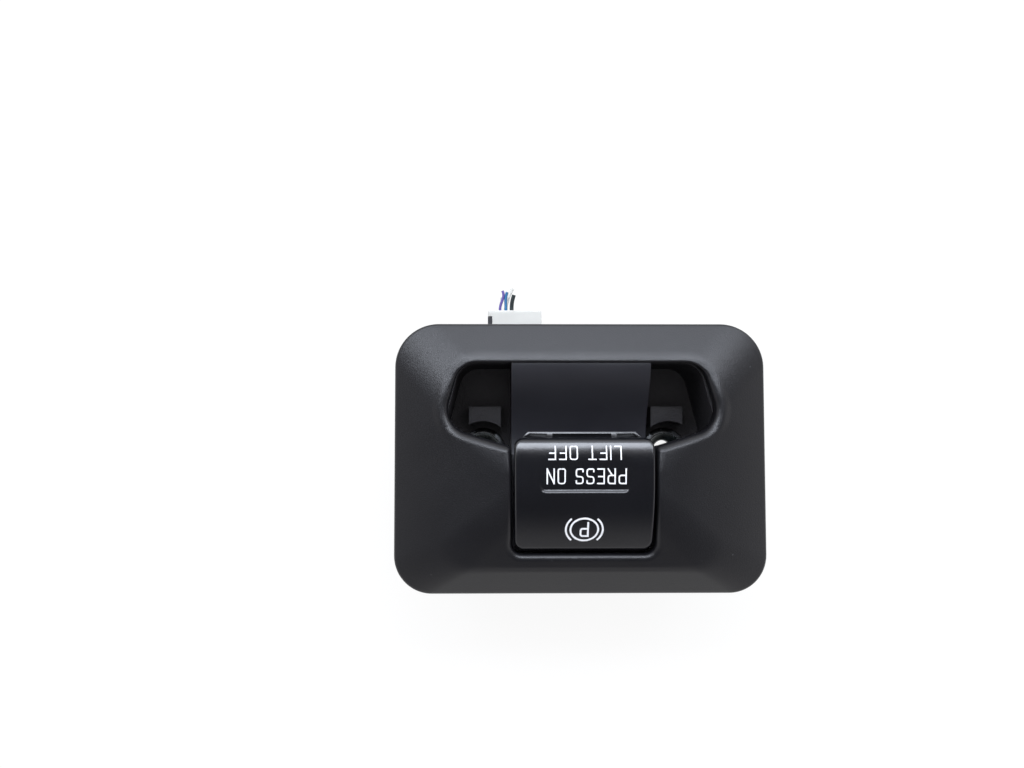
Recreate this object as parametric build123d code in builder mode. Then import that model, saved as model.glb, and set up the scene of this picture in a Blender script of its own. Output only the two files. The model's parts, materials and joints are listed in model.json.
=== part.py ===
from build123d import *
import math
import os

# Push and pull switch for an electric parking brake, with its trim bezel and cut-off plug.
# Origin: midway between the two fixing holes, on the face that seats on the car's bracket.
# +X runs across the switch, +Y towards the connector, +Z out of the face. Millimetres.

# Fixing row
hole_spacing = 53.2
hole_radius = 2.7
edge_z = 26.0  # plane of the bezel's visible edge above the seating face

# Bezel
bezel_width = 100.0
bezel_height = 72.4
bezel_mid_y = -1.6  # middle of the bezel, below the row of fixing holes
upper_corner = 11.8
lower_corner = 10.2
edge_land = 0.4  # upright stretch above the edge plane
corner_steep = 0.8  # rise of the bezel's rounded corners for each mm inwards
corner_depth = 9.0  # how far inwards and outwards of the outline the corner cones run
corner_spread = 1.0
corner_land = 0.02  # keeps the corner cones just clear of the straight edges
rim_depth = 2.0  # upright rim below the edge plane, down to the panel
bezel_wall = 2.3
side_slope = 21.7  # degrees
crown_z = 12.8  # highest part of the face
crest_y = 25.8  # where the upper slope turns into the face
crest_z = 5.3
crown_upper_y = 3.0
crown_lower_y = -12.5
lip_y = -25.9  # where the face turns down to the lower edge
lip_z = 7.9
hip_radius = 7.0

face_radii = (15.0, 25.0, 25.0, 10.0)  # bends of the face, from its upper edge down

# Opening in the bezel: a finger recess above a slot for the button
recess_top = 25.5
recess_top_half = 32.3
recess_side_half = 36.8
recess_side_y = 8.2
post_y = 2.3
slot_half = 18.7
slot_end = -24.7
recess_top_radius = 6.0
recess_side_radius = 6.5
post_radius = 1.8
slot_end_radius = 2.8
skirt_wall = 1.9
skirt_bottom = 0.5
roll_radius = 1.0

# Running and seating gaps
seat_gap = 0.2
bay_gap = 0.25
slide_gap = 0.3
pin_clearance = 0.04
thread_clearance = 0.05
over = 5.0  # how far a cut runs past what it cuts

# Carrier: deep tray behind the bezel
tray_wall = 2.0
floor_top = -21.5
floor_thick = 4.5
pocket_half = 35.4
pocket_low = -9.0
pocket_radius = 5.0
bay_radius = 1.0
ledge_top = -13.0
ledge_inner = 21.4
ledge_outer = 30.6
ledge_y = 14.1
tab_boss_radius = 3.4
tab_boss_height = 10.0
counterbore_radius = 8.3
flange_top = -6.0
flange_thick = 2.5
flange_margin = 3.7
flange_upper = 24.0
flange_lower = -26.0

# Bushes in the fixing holes
bush_flange_radius = 6.4
bush_mouth_radius = 4.75
bush_body_radius = 5.15
bush_proud = 1.6
bush_cone = 3.2

# Bezel fixings
boss_reach = 4.7  # screw bosses and dowels beyond the side corners of the opening
boss_ys = (20.0, -22.0)
boss_radius = 3.0
screw_radius = 1.45
screw_head_radius = 2.6
screw_head = 1.9
dowel_y = -1.0
dowel_radius = 2.0
dowel_root_radius = 2.5
dowel_end = -15.0
tower_x = 22.0
tower_upper_y = 30.2
tower_lower_y = -31.0
tower_width = 9.0
tower_thick = 2.0
tower_end = -14.0
clip_gauge = 0.5
clip_gap = 0.05
clip_width = 7.0
clip_reach = 10.0
clip_barb = 1.3
boss_depth = 6.4
dowel_chamfer = 0.7

# Switch housing
housing_half = 18.35
housing_lower = -25.1
housing_wall = 2.0
end_wall = 1.6
housing_top = -1.0
scoop_top = 4.4
scoop_floor = -5.0
bay_front = 0.8
scoop_flat_y = 4.0

# Rocker and its pivot
pivot_y = -18.5
pivot_z = 1.5
pin_radius = 1.5
pin_recess = 0.1
ear_thick = 2.2
ear_radius = 2.8
barrel_half = 13.2
barrel_radius = 2.9
ear_drop = 5.0
arm_half = 3.0
frame_cheek = 2.2
frame_front = 3.4
frame_bottom = 4.2
frame_tail_z = 4.4
frame_knee_y = -12.0
arm_length = 19.7  # pivot to the round tip that drives the carriage
tip_radius = 1.45

# Button cap
cap_half = 17.9
cap_lip_y = 5.5
cap_end_y = -23.6
cap_end_z = 7.4
cap_crown_z = 13.4
cap_wall = 1.6
cap_roll_z = 9.8
cap_crest_y = -1.5
cap_lip_corner = 2.6
cap_edge_radius = 0.7
cap_end_corner = 2.4
cap_end_bottom = 2.8
cap_roll_rise = 1.7
cap_roll_run = 2.8
cap_crest_run = 9.0
cap_end_run = 8.0
cap_end_rise = 4.5
cap_lip_bottom = 5.2
ceiling_z = 10.3
ceiling_bend_y = -9.0
ceiling_end_z = 5.6
pad_half = 12.2
pad_end_y = -8.6
pad_depth = 0.7
pad_fall = 0.5
pad_fade_y = 1.2

# Pull grip under the lip
grip_half = 14.3
grip_root_half = 16.4
grip_y = 7.1
grip_root_y = 4.8
grip_back_y = -1.0
grip_bottom = 3.2
grip_thick = 1.0
grip_rim = 0.65
grip_side_rim = 0.9
grip_rim_height = 0.9
peg_x = 8.5
peg_width = 1.5

# Springs
spring_y = -5.3
spring_radius = 2.0
spring_wire = 0.5
foot_top = -9.2
foot_thick = 1.6
foot_half = 2.4
foot_back = -9.6
foot_front = -3.2
seat_inner = 5.4
bridge_back = -7.0
stem_y = -6.0
stem_half = 3.0
stem_thick = 2.4
stem_end = -15.0
guide_base = 5.2
guide_low_top = 7.6
bridge_bottom = -2.6
shelf_top = -18.0

# Carriage on its rails
rail_width = 2.0
rail_top = -22.8
rail_depth = 2.0
carriage_back = -21.2
carriage_front = -10.8
carriage_plate = 2.0
carriage_bottom = -26.6
fork_wall = 1.2
fork_top = -16.4
wiper_count = 3
wiper_pitch = 7.0
wiper_width = 1.8
wiper_gauge = 0.25

# Circuit board and what is on it
board_top = -28.0
board_thick = 1.6
board_play = 0.15
board_upper = 23.0
board_lower = -23.0
board_step = 16.2
board_notch = -6.4
board_left = -25.0
board_tongue = 11.9
screw_play = 0.2  # round a screw that passes through
chip_x = 6.5
chip_y = 12.5
chip_size = 6.0
chip_stand = 0.15
chip_thick = 1.2
chip_leads = 8
chip_pitch = 0.65
lead_width = 0.35
lead_long = 1.2
lead_thick = 0.4
chip_part_count = 6
chip_part_pitch = 2.4
chip_part_x = -3.0
chip_part_y = 4.5
chip_part_wide = 1.2
chip_part_long = 2.0
chip_part_thick = 0.6
lamp_x = 2.4
lamp_wide = 3.2
lamp_long = 2.8
lamp_thick = 1.3
lens_radius = 1.1
lens_thick = 0.4

# Connector
pin_pitch = 1.8
pin_columns = 6
pin_size = 0.64
row_offset = 1.1
plug_x = -17.2
plug_z = -32.2
plug_width = 16.4
plug_height = 7.6
plug_gap = 0.1
plug_end = 44.0
plug_nose = 18.9
shroud_wall = 1.6
shroud_end = 33.4
shroud_back = 18.6
shroud_root = 10.1
pin_tip = 29.0
pin_proud = 0.8  # above the board
pin_bends = (13.0, 15.0)
cavity_size = 1.5
cavity_wall = 1.2
lock_y = 24.0
lock_long = 4.0
lock_width = 13.6
lock_depth = 1.2
notch_y = 40.4
notch_long = 3.4
notch_deep = 1.3
crimp_start = 31.0
crimp_end = 40.5
crimp_size = 1.3
crimp_wall = 0.15

# Rear cover
cover_back = -38.5
cover_wall = 1.9
cover_screw_inset = 2.7
tab_thick = 2.5
tab_side_reach = 4.25
tab_side_y = -18.0
tab_top_reach = 5.2
tab_top_x = 2.5
cover_boss_radius = 3.0
cover_foot_radius = 2.5
cover_boss_height = 10.0
cover_post_radius = 3.6
bezel_screw_length = 8.5
module_screw_length = 9.5
cover_screw_length = 16.0

wire_bend = 3.0
wire_straight = 0.4

# Wires cut off short: colour, radius, column, row, tip x, tip y
wires = (
    ("violet", 0.65, 0, 1, -21.0, 50.2),
    ("grey", 0.6, 0, -1, -21.3, 48.4),
    ("blue", 0.65, 1, 1, -19.4, 50.0),
    ("white", 0.7, 1, -1, -17.9, 51.4),
    ("black", 0.75, 2, 1, -17.2, 48.9),
)

front = Plane(origin=(0, bezel_mid_y, edge_z))
side = Plane(origin=front.origin, x_dir=(0, 1, 0), z_dir=(1, 0, 0))
across = Plane(origin=front.origin, x_dir=(1, 0, 0), z_dir=(0, -1, 0))

# What follows from the sizes above
floor_bottom = floor_top - floor_thick
boss_x = recess_side_half + boss_reach
flange_half = boss_x + flange_margin
housing_upper = recess_top - slide_gap
bay_half = housing_half + bay_gap
bay_end = housing_lower - seat_gap
inner_half = housing_half - housing_wall
board_half = inner_half - board_play
bay_low = housing_lower + end_wall
bay_high = bay_front - housing_wall
ear_inner = barrel_half + seat_gap
ear_outer = ear_inner + ear_thick
pin_half = ear_outer - pin_recess
spring_x = barrel_half - frame_cheek / 2 - foot_half
shroud_half = plug_width / 2 + plug_gap + shroud_wall
screw_x = inner_half - cover_screw_inset
screw_y = housing_upper - housing_wall - cover_screw_inset
cover_screws = (
    (screw_x, screw_y),
    (plug_x + shroud_half + cover_post_radius + thread_clearance, screw_y),
    (screw_x, bay_high - cover_screw_inset),
    (-screw_x, bay_high - cover_screw_inset),
)
tab_spots = (
    (housing_half + tab_side_reach, tab_side_y),
    (-housing_half - tab_side_reach, tab_side_y),
    (tab_top_x, housing_upper + tab_top_reach),
)
tab_webs = (
    (housing_half + tab_side_reach - tab_boss_radius, tab_side_y),
    (-housing_half - tab_side_reach + tab_boss_radius, tab_side_y),
    (tab_top_x, housing_upper + tab_top_reach - tab_boss_radius),
)
hole_y = -bezel_mid_y
hole_spots = [(s * hole_spacing / 2, hole_y) for s in (-1, 1)]
# Feet of the header pins: the lower row bends nearer to the middle of the board
pin_feet = [
    (plug_x + (i - (pin_columns - 1) / 2) * pin_pitch, bend, plug_z + row * row_offset)
    for i in range(pin_columns)
    for row, bend in zip((-1, 1), pin_bends)
]


def level(height):
    return front.offset(height)


def side_at(x):
    return side.offset(x)


def plane_at(x, y, z, toward=(0, 1, 0)):
    return Plane(front.from_local_coords((x, y, z)), x_dir=(1, 0, 0), z_dir=toward)


def mirrored(points):
    # The right half's corners from the bottom up, then the left half's from the top down
    return points + [(-x, y) for x, y in reversed(points)]


def bezel_outline():
    right = [(bezel_width / 2, -bezel_height / 2), (bezel_width / 2, bezel_height / 2)]
    radii = [lower_corner, upper_corner, upper_corner, lower_corner]
    FilletPolyline(*mirrored(right), radius=radii, close=True)


def opening_outline():
    right = [
        (slot_half, slot_end),
        (slot_half, post_y),
        (recess_side_half, recess_side_y),
        (recess_top_half, recess_top),
    ]
    radii = [slot_end_radius, post_radius, recess_side_radius, recess_top_radius]
    FilletPolyline(*mirrored(right), radius=radii + radii[::-1], close=True)


def tray_outline():
    right = [
        (bay_half, bay_end),
        (bay_half, pocket_low),
        (pocket_half, pocket_low),
        (recess_side_half, recess_side_y),
        (recess_top_half, recess_top),
    ]
    radii = [bay_radius, bay_radius, pocket_radius, recess_side_radius, recess_top_radius]
    FilletPolyline(*mirrored(right), radius=radii + radii[::-1], close=True)


def crowned_block(inset, drop):
    # The face is the lower of two profiles: one across the switch and one along it
    half = bezel_width / 2
    slope = math.tan(math.radians(side_slope))
    with BuildPart() as block:
        with BuildSketch(level(-rim_depth - drop)):
            with BuildLine():
                bezel_outline()
            make_face()
            if inset:
                offset(amount=-inset)
        extrude(amount=rim_depth + drop + crown_z)
        with BuildSketch(across):
            run = (crown_z + 1 - edge_land) / slope
            base = -rim_depth - drop - 1
            with BuildLine():
                Polyline(
                    *mirrored(
                        [
                            (half + 2, base),
                            (half + 2, edge_land - drop - 2 * slope),
                            (half - run, crown_z + 1 - drop),
                        ]
                    ),
                    close=True,
                )
            make_face()
        extrude(amount=bezel_height, both=True, mode=Mode.INTERSECT)
        with BuildSketch(side):
            top = bezel_height / 2
            upper = (crest_z - edge_land) / (top - crest_y)
            lower = (lip_z - edge_land) / (top + lip_y)
            with BuildLine():
                FilletPolyline(
                    (top + 2, base),
                    (top + 2, edge_land - drop - 2 * upper),
                    (crest_y, crest_z - drop),
                    (crown_upper_y, crown_z - drop),
                    (crown_lower_y, crown_z - drop),
                    (lip_y, lip_z - drop),
                    (-top - 2, edge_land - drop - 2 * lower),
                    (-top - 2, base),
                    radius=[0, 0, *face_radii, 0, 0],
                    close=True,
                )
            make_face()
        extrude(amount=bezel_width, both=True, mode=Mode.INTERSECT)
    return block.part


os.makedirs("parts", exist_ok=True)


def save(builder, label):
    builder.part.label = label
    export_step(builder.part, f"parts/{label}.step")


# Bezel: crowned shell with a skirt round the opening, bosses, dowels and clip towers behind
with BuildPart() as skirt_room:
    add(crowned_block(bezel_wall, bezel_wall * 1.08))
    with BuildSketch(level(skirt_bottom)):
        with BuildLine():
            opening_outline()
        make_face()
        offset(amount=skirt_wall)
    extrude(amount=crown_z + over, mode=Mode.SUBTRACT)
    with BuildSketch(level(-rim_depth - over)):
        for s in (-1, 1):
            with Locations(*[(s * boss_x, y) for y in boss_ys]):
                Circle(boss_radius)
            with Locations((s * boss_x, dowel_y)):
                Circle(dowel_root_radius)
            with Locations((s * tower_x, tower_upper_y), (s * tower_x, tower_lower_y)):
                Rectangle(tower_width, tower_thick)
    extrude(amount=crown_z + 2 * over, mode=Mode.SUBTRACT)

# Room over the bezel's rounded corners, cut away so that the visible edge stays level there
with BuildPart() as corner_room:
    for spread, mode in ((2 * corner_spread, Mode.ADD), (-corner_depth, Mode.SUBTRACT)):
        with BuildSketch(level(edge_land + corner_land - corner_spread * corner_steep)):
            with BuildLine():
                bezel_outline()
            make_face()
            offset(amount=spread)
        extrude(amount=crown_z + over, mode=mode)
    for spread in (corner_spread, -corner_depth):
        with BuildSketch(level(edge_land + corner_land - spread * corner_steep)):
            with BuildLine():
                bezel_outline()
            make_face()
            offset(amount=spread)
    loft(ruled=True, mode=Mode.SUBTRACT)

with BuildPart() as bezel:
    add(crowned_block(0, 0))
    hips = bezel.edges().filter_by(
        lambda e: abs(e.tangent_at(0.5).X) > 0.3
        and abs(e.tangent_at(0.5).Y) > 0.3
        and e.center().Z > edge_z + edge_land + 1
    )
    fillet(hips, radius=hip_radius)
    add(corner_room.part, mode=Mode.SUBTRACT)
    with BuildSketch(level(-rim_depth - 1)):
        with BuildLine():
            opening_outline()
        make_face()
    extrude(amount=crown_z + rim_depth + over, mode=Mode.SUBTRACT)
    # Rolled rim of the opening
    walls = bezel.faces().filter_by(
        lambda f: abs(f.normal_at().Z) < 0.01 and abs(f.center().X) < recess_side_half
    )
    walls = walls.filter_by(lambda f: abs(f.center().Y - bezel_mid_y) < recess_top + 0.1)
    fillet(
        walls.edges().filter_by(
            lambda e: e.center().Z > edge_z + skirt_bottom + 3 and abs(e.tangent_at(0.5).Z) < 0.9
        ),
        radius=roll_radius,
    )
    add(skirt_room.part, mode=Mode.SUBTRACT)
    # Screw bosses, dowels and towers run on below the rim
    for s in (-1, 1):
        for y in boss_ys:
            with BuildSketch(level(flange_top)):
                with Locations((s * boss_x, y)):
                    Circle(boss_radius)
            extrude(amount=-flange_top)
            with BuildSketch(level(flange_top)):
                with Locations((s * boss_x, y)):
                    Circle(screw_radius + thread_clearance)
            extrude(amount=boss_depth, mode=Mode.SUBTRACT)
        with BuildSketch(level(flange_top - flange_thick)):
            with Locations((s * boss_x, dowel_y)):
                Circle(dowel_root_radius)
        extrude(amount=flange_thick - flange_top)
        with BuildSketch(level(dowel_end)):
            with Locations((s * boss_x, dowel_y)):
                Circle(dowel_radius)
        extrude(amount=flange_top - flange_thick - dowel_end)
        with BuildSketch(level(tower_end)):
            with Locations((s * tower_x, tower_upper_y), (s * tower_x, tower_lower_y)):
                Rectangle(tower_width, tower_thick)
        extrude(amount=-tower_end)
    tips = bezel.edges().filter_by(GeomType.CIRCLE).group_by(Axis.Z)[0]
    chamfer(tips, length=dowel_chamfer)
save(bezel, "bezel")

# Spring clips pushed over the four towers
with BuildPart() as bezel_clips:
    for s in (-1, 1):
        for y, out in ((tower_upper_y, 1), (tower_lower_y, -1)):
            half = (tower_thick + clip_gauge) / 2 + clip_gap
            with BuildSketch(side_at(s * tower_x)):
                with BuildLine() as leaf:
                    FilletPolyline(
                        (y - out * half, tower_end + clip_reach),
                        (y - out * half, tower_end - clip_gauge),
                        (y + out * half, tower_end - clip_gauge),
                        (y + out * (half + clip_barb), tower_end + clip_reach * 0.55),
                        (y + out * half, tower_end + clip_reach),
                        radius=[clip_gauge * 0.6, clip_gauge * 0.6, 1.0],
                    )
                trace(line_width=clip_gauge)
            extrude(amount=clip_width / 2, both=True)
save(bezel_clips, "bezel_clips")

# Carrier: a deep tray with closed finger pockets, ears for the bushes and a screw flange
with BuildPart() as carrier_frame:
    with BuildSketch(level(floor_bottom)):
        with BuildLine():
            tray_outline()
        make_face()
        offset(amount=tray_wall)
        with BuildLine():
            tray_outline()
        make_face(mode=Mode.SUBTRACT)
    extrude(amount=skirt_bottom - seat_gap - floor_bottom)
    # Floor with the bay through it, carried on to the three screw bosses
    with BuildSketch(level(floor_bottom)):
        with BuildLine():
            tray_outline()
        make_face()
        offset(amount=tray_wall)
        with Locations(*tab_spots):
            Circle(tab_boss_radius)
        with Locations(*tab_webs):
            Rectangle(2 * tab_boss_radius, 2 * tab_boss_radius)
        with Locations((0, (recess_top + bay_end) / 2)):
            Rectangle(2 * bay_half, recess_top - bay_end, mode=Mode.SUBTRACT)
    extrude(amount=floor_thick)
    with BuildSketch(level(floor_bottom)):
        with Locations(*tab_spots):
            Circle(tab_boss_radius)
    extrude(amount=tab_boss_height)
    # Ledges with a round counterbore before each bush
    with BuildSketch(level(floor_top)):
        for s in (-1, 1):
            with Locations((s * (ledge_inner + ledge_outer) / 2, (hole_y + ledge_y) / 2)):
                Rectangle(ledge_outer - ledge_inner, ledge_y - hole_y)
        with Locations(*hole_spots):
            Circle(counterbore_radius, mode=Mode.SUBTRACT)
    extrude(amount=ledge_top - floor_top)
    with BuildSketch(level(floor_bottom)):
        with Locations(*hole_spots):
            Circle(bush_body_radius + thread_clearance)
    extrude(amount=floor_thick, mode=Mode.SUBTRACT)
    with BuildSketch(level(floor_bottom)):
        with Locations(*tab_spots):
            Circle(screw_radius + thread_clearance)
    extrude(amount=tab_boss_height - 1.5, mode=Mode.SUBTRACT)
    # Flange that the bezel's bosses stand on
    with BuildSketch(level(flange_top)):
        with Locations((0, (flange_upper + flange_lower) / 2)):
            RectangleRounded(2 * flange_half, flange_upper - flange_lower, 4.0)
        with BuildLine():
            tray_outline()
        make_face(mode=Mode.SUBTRACT)
        for s in (-1, 1):
            with Locations(*[(s * boss_x, y) for y in boss_ys]):
                Circle(screw_radius + screw_play, mode=Mode.SUBTRACT)
            with Locations((s * boss_x, dowel_y)):
                Circle(dowel_root_radius + slide_gap, mode=Mode.SUBTRACT)
    extrude(amount=-flange_thick)
save(carrier_frame, "carrier_frame")

# Steel bushes, flared at the front so that a fixing screw finds its way in
with BuildPart() as fixing_bushes:
    for x, y in hole_spots:
        with BuildSketch(plane_at(x, y, 0, (0, -1, 0))):
            with BuildLine():
                top = floor_top + bush_proud
                Polyline(
                    (hole_radius, floor_bottom),
                    (bush_body_radius, floor_bottom),
                    (bush_body_radius, floor_top),
                    (bush_flange_radius, floor_top),
                    (bush_flange_radius, top),
                    (bush_mouth_radius, top),
                    (hole_radius, top - bush_cone),
                    close=True,
                )
            bush_face = make_face()
            rolled = bush_face.vertices().group_by(Axis.Y)[-1]
            fillet(rolled, radius=0.7)
        revolve(axis=Axis(front.from_local_coords((x, y, 0)), (0, 0, 1)))
save(fixing_bushes, "fixing_bushes")


# Switch housing: finger scoop in front of the rocker bay, open behind
def scoop_line(drop):
    # Curved floor of the scoop, from its upper edge down to the flat before the bay
    Bezier(
        (housing_upper - drop, scoop_top - drop),
        (housing_upper * 0.72, scoop_top - 0.6 - drop),
        (housing_upper * 0.5, scoop_floor - drop),
        (scoop_flat_y, scoop_floor - drop),
    )


with BuildPart() as switch_housing:
    with BuildSketch(side_at(-housing_half)):
        with BuildLine():
            scoop_line(0)
            Polyline(
                (scoop_flat_y, scoop_floor),
                (bay_front, scoop_floor),
                (bay_front, housing_top),
                (housing_lower, housing_top),
                (housing_lower, floor_bottom),
                (housing_upper, floor_bottom),
                (housing_upper, scoop_top),
            )
        make_face()
    extrude(amount=2 * housing_half)
    fillet(switch_housing.edges().filter_by(Axis.Z).group_by(Axis.Y)[0], radius=1.5)
    # Hollow below the scoop
    with BuildSketch(side_at(-inner_half)):
        with BuildLine():
            scoop_line(housing_wall)
            Polyline(
                (scoop_flat_y, scoop_floor - housing_wall),
                (bay_front, scoop_floor - housing_wall),
                (bay_front, floor_bottom),
                (housing_upper - housing_wall, floor_bottom),
                (housing_upper - housing_wall, scoop_top - housing_wall),
            )
        make_face()
    extrude(amount=2 * inner_half, mode=Mode.SUBTRACT)
    # Rocker bay, open at the front and behind
    with BuildSketch(level(floor_bottom)):
        with Locations((0, (bay_low + bay_high) / 2)):
            Rectangle(2 * inner_half, bay_high - bay_low)
    extrude(amount=housing_top - floor_bottom, mode=Mode.SUBTRACT)
    # Hinge ears, spring seats and carriage rails inside the bay
    for s in (-1, 1):
        with BuildSketch(side_at(s * ear_inner)):
            with Locations((pivot_y, pivot_z)):
                Circle(ear_radius)
            with Locations((pivot_y, (pivot_z + housing_top - ear_drop) / 2)):
                Rectangle(2 * ear_radius, pivot_z - housing_top + ear_drop)
        extrude(amount=s * (ear_outer - ear_inner))
        with BuildSketch(side_at(s * ear_inner)):
            with Locations((pivot_y, housing_top - ear_drop / 2)):
                Rectangle(2 * ear_radius, ear_drop)
        extrude(amount=s * (inner_half - ear_inner))
        with BuildSketch(side_at(s * ear_inner)):
            with Locations((pivot_y, pivot_z)):
                Circle(pin_radius + thread_clearance)
        extrude(amount=s * (ear_outer - ear_inner), mode=Mode.SUBTRACT)
        seat_mid = s * (seat_inner + inner_half) / 2
        with BuildSketch(level(bridge_bottom)):
            with Locations((seat_mid, (bridge_back + bay_high) / 2)):
                Rectangle(inner_half - seat_inner, bay_high - bridge_back)
        extrude(amount=housing_top - bridge_bottom)
        with BuildSketch(level(shelf_top - housing_wall)):
            with Locations((seat_mid, (bridge_back - 1 + bay_high) / 2)):
                Rectangle(inner_half - seat_inner, bay_high - bridge_back + 1)
        extrude(amount=housing_wall)
        with BuildSketch(level(rail_top - rail_depth)):
            with Locations((s * (inner_half - rail_width / 2), (bay_low + bay_high) / 2)):
                Rectangle(rail_width, bay_high - bay_low)
        extrude(amount=rail_depth)
    # Screw bosses down to the circuit board
    with BuildSketch(level(floor_bottom)):
        with Locations(*cover_screws):
            Circle(cover_boss_radius)
    extrude(amount=cover_boss_height + board_top - floor_bottom)
    with BuildSketch(level(board_top)):
        with Locations(*cover_screws):
            Circle(cover_foot_radius)
    extrude(amount=floor_bottom - board_top)
    with BuildSketch(level(board_top)):
        with Locations(*cover_screws):
            Circle(screw_radius + thread_clearance)
    extrude(amount=cover_boss_height - 2, mode=Mode.SUBTRACT)
save(switch_housing, "switch_housing")

# Pivot pin across the two ears
with BuildPart() as pivot_pin:
    with BuildSketch(side_at(-pin_half)):
        with Locations((pivot_y, pivot_z)):
            Circle(pin_radius)
    extrude(amount=2 * pin_half)
    chamfer(pivot_pin.edges().filter_by(GeomType.CIRCLE), length=0.3)
save(pivot_pin, "pivot_pin")


# The underside of the cap and the top of the rocker frame share this line
inner_line = [
    (cap_end_y + cap_wall, ceiling_end_z),
    (ceiling_bend_y, ceiling_z),
    (cap_lip_y - cap_wall - seat_gap, ceiling_z),
]

# Button cap: crowned gloss shell with a rolled lip and a shallow finger pad
with BuildPart() as button_cap:
    with BuildSketch(side_at(-cap_half)):
        with BuildLine():
            Line((cap_lip_y - seat_gap, cap_lip_bottom), (cap_lip_y, cap_roll_z))
            Bezier(
                (cap_lip_y, cap_roll_z),
                (cap_lip_y - 0.1, cap_roll_z + cap_roll_rise),
                (cap_lip_y - cap_roll_run, cap_crown_z - 0.1),
                (cap_crest_y, cap_crown_z),
            )
            Bezier(
                (cap_crest_y, cap_crown_z),
                (cap_crest_y - cap_crest_run, cap_crown_z),
                (cap_end_y + cap_end_run, cap_end_z + cap_end_rise),
                (cap_end_y, cap_end_z),
            )
            Polyline(
                (cap_end_y, cap_end_z),
                (cap_end_y, cap_end_bottom),
                (cap_lip_y - seat_gap, cap_lip_bottom),
            )
        make_face()
    extrude(amount=2 * cap_half)
    with BuildSketch(level(0)):
        with BuildLine():
            FilletPolyline(
                (cap_half, cap_end_y),
                (cap_half, cap_lip_y),
                (-cap_half, cap_lip_y),
                (-cap_half, cap_end_y),
                radius=[cap_end_corner, cap_lip_corner, cap_lip_corner, cap_end_corner],
                close=True,
            )
        make_face()
    extrude(amount=cap_crown_z + 1, mode=Mode.INTERSECT)
    # Pad: a shallow wedge that fades out towards the lip and ends in a small step
    with BuildSketch(side_at(-pad_half)):
        with BuildLine():
            Polyline(
                (pad_fade_y, cap_crown_z + 0.05),
                (pad_end_y, cap_crown_z - pad_depth - pad_fall),
                (pad_end_y, cap_crown_z + 1),
                (pad_fade_y, cap_crown_z + 1),
                close=True,
            )
        make_face()
    extrude(amount=2 * pad_half, mode=Mode.SUBTRACT)
    crown_edges = button_cap.edges().filter_by(
        lambda e: e.center().Z > edge_z + cap_end_z and abs(e.center().X) > cap_half - cap_lip_corner
    )
    fillet(crown_edges, radius=cap_edge_radius)
    # Hollow for the rocker frame
    with BuildSketch(side_at(-cap_half + cap_wall)):
        with BuildLine():
            Polyline(
                *inner_line,
                (cap_lip_y - cap_wall - seat_gap, 0),
                (cap_end_y + cap_wall, 0),
                close=True,
            )
        make_face()
    extrude(amount=2 * (cap_half - cap_wall), mode=Mode.SUBTRACT)
save(button_cap, "button_cap")

# Rocker frame: hinge barrel, drive arm and spring feet under the cap
with BuildPart() as rocker_frame:
    with BuildSketch(side_at(-barrel_half)):
        with BuildLine():
            Polyline(
                (cap_end_y + cap_wall + seat_gap, frame_tail_z),
                (cap_end_y + cap_wall + seat_gap, ceiling_end_z),
                (ceiling_bend_y, ceiling_z - thread_clearance),
                (frame_front, ceiling_z - thread_clearance),
                (frame_front, frame_bottom),
                (frame_knee_y, frame_bottom),
                (pivot_y, pivot_z),
                close=True,
            )
        make_face()
        with Locations((pivot_y, pivot_z)):
            Circle(barrel_radius)
    extrude(amount=2 * barrel_half)
    # Light well between the cheeks
    with BuildSketch(level(frame_bottom)):
        with Locations((0, (pivot_y + barrel_radius + frame_front) / 2)):
            Rectangle(
                2 * (barrel_half - frame_cheek),
                frame_front - pivot_y - barrel_radius - 2 * frame_cheek,
            )
    extrude(amount=ceiling_z, mode=Mode.SUBTRACT)
    # Drive arm straight down from the pivot, with a round tip in the carriage's fork
    with BuildSketch(side_at(-arm_half)):
        with Locations((pivot_y, pivot_z - arm_length)):
            Circle(tip_radius)
        with Locations((pivot_y, pivot_z - arm_length / 2)):
            Rectangle(2 * (tip_radius - 0.25), arm_length)
    extrude(amount=2 * arm_half)
    # Spring feet
    for s in (-1, 1):
        with BuildSketch(side_at(s * barrel_half)):
            with BuildLine():
                Polyline(
                    (foot_back, frame_bottom + 0.5),
                    (foot_back, foot_top - foot_thick),
                    (foot_front, foot_top - foot_thick),
                    (foot_front, foot_top),
                    (foot_back + foot_thick, foot_top),
                    (foot_back + foot_thick, frame_bottom + 0.5),
                    close=True,
                )
            make_face()
        extrude(amount=s * (spring_x - foot_half - barrel_half))
    # Bore for the pivot pin
    with BuildSketch(side_at(-barrel_half)):
        with Locations((pivot_y, pivot_z)):
            Circle(pin_radius + pin_clearance)
    extrude(amount=2 * barrel_half, mode=Mode.SUBTRACT)
save(rocker_frame, "rocker_frame")

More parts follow.
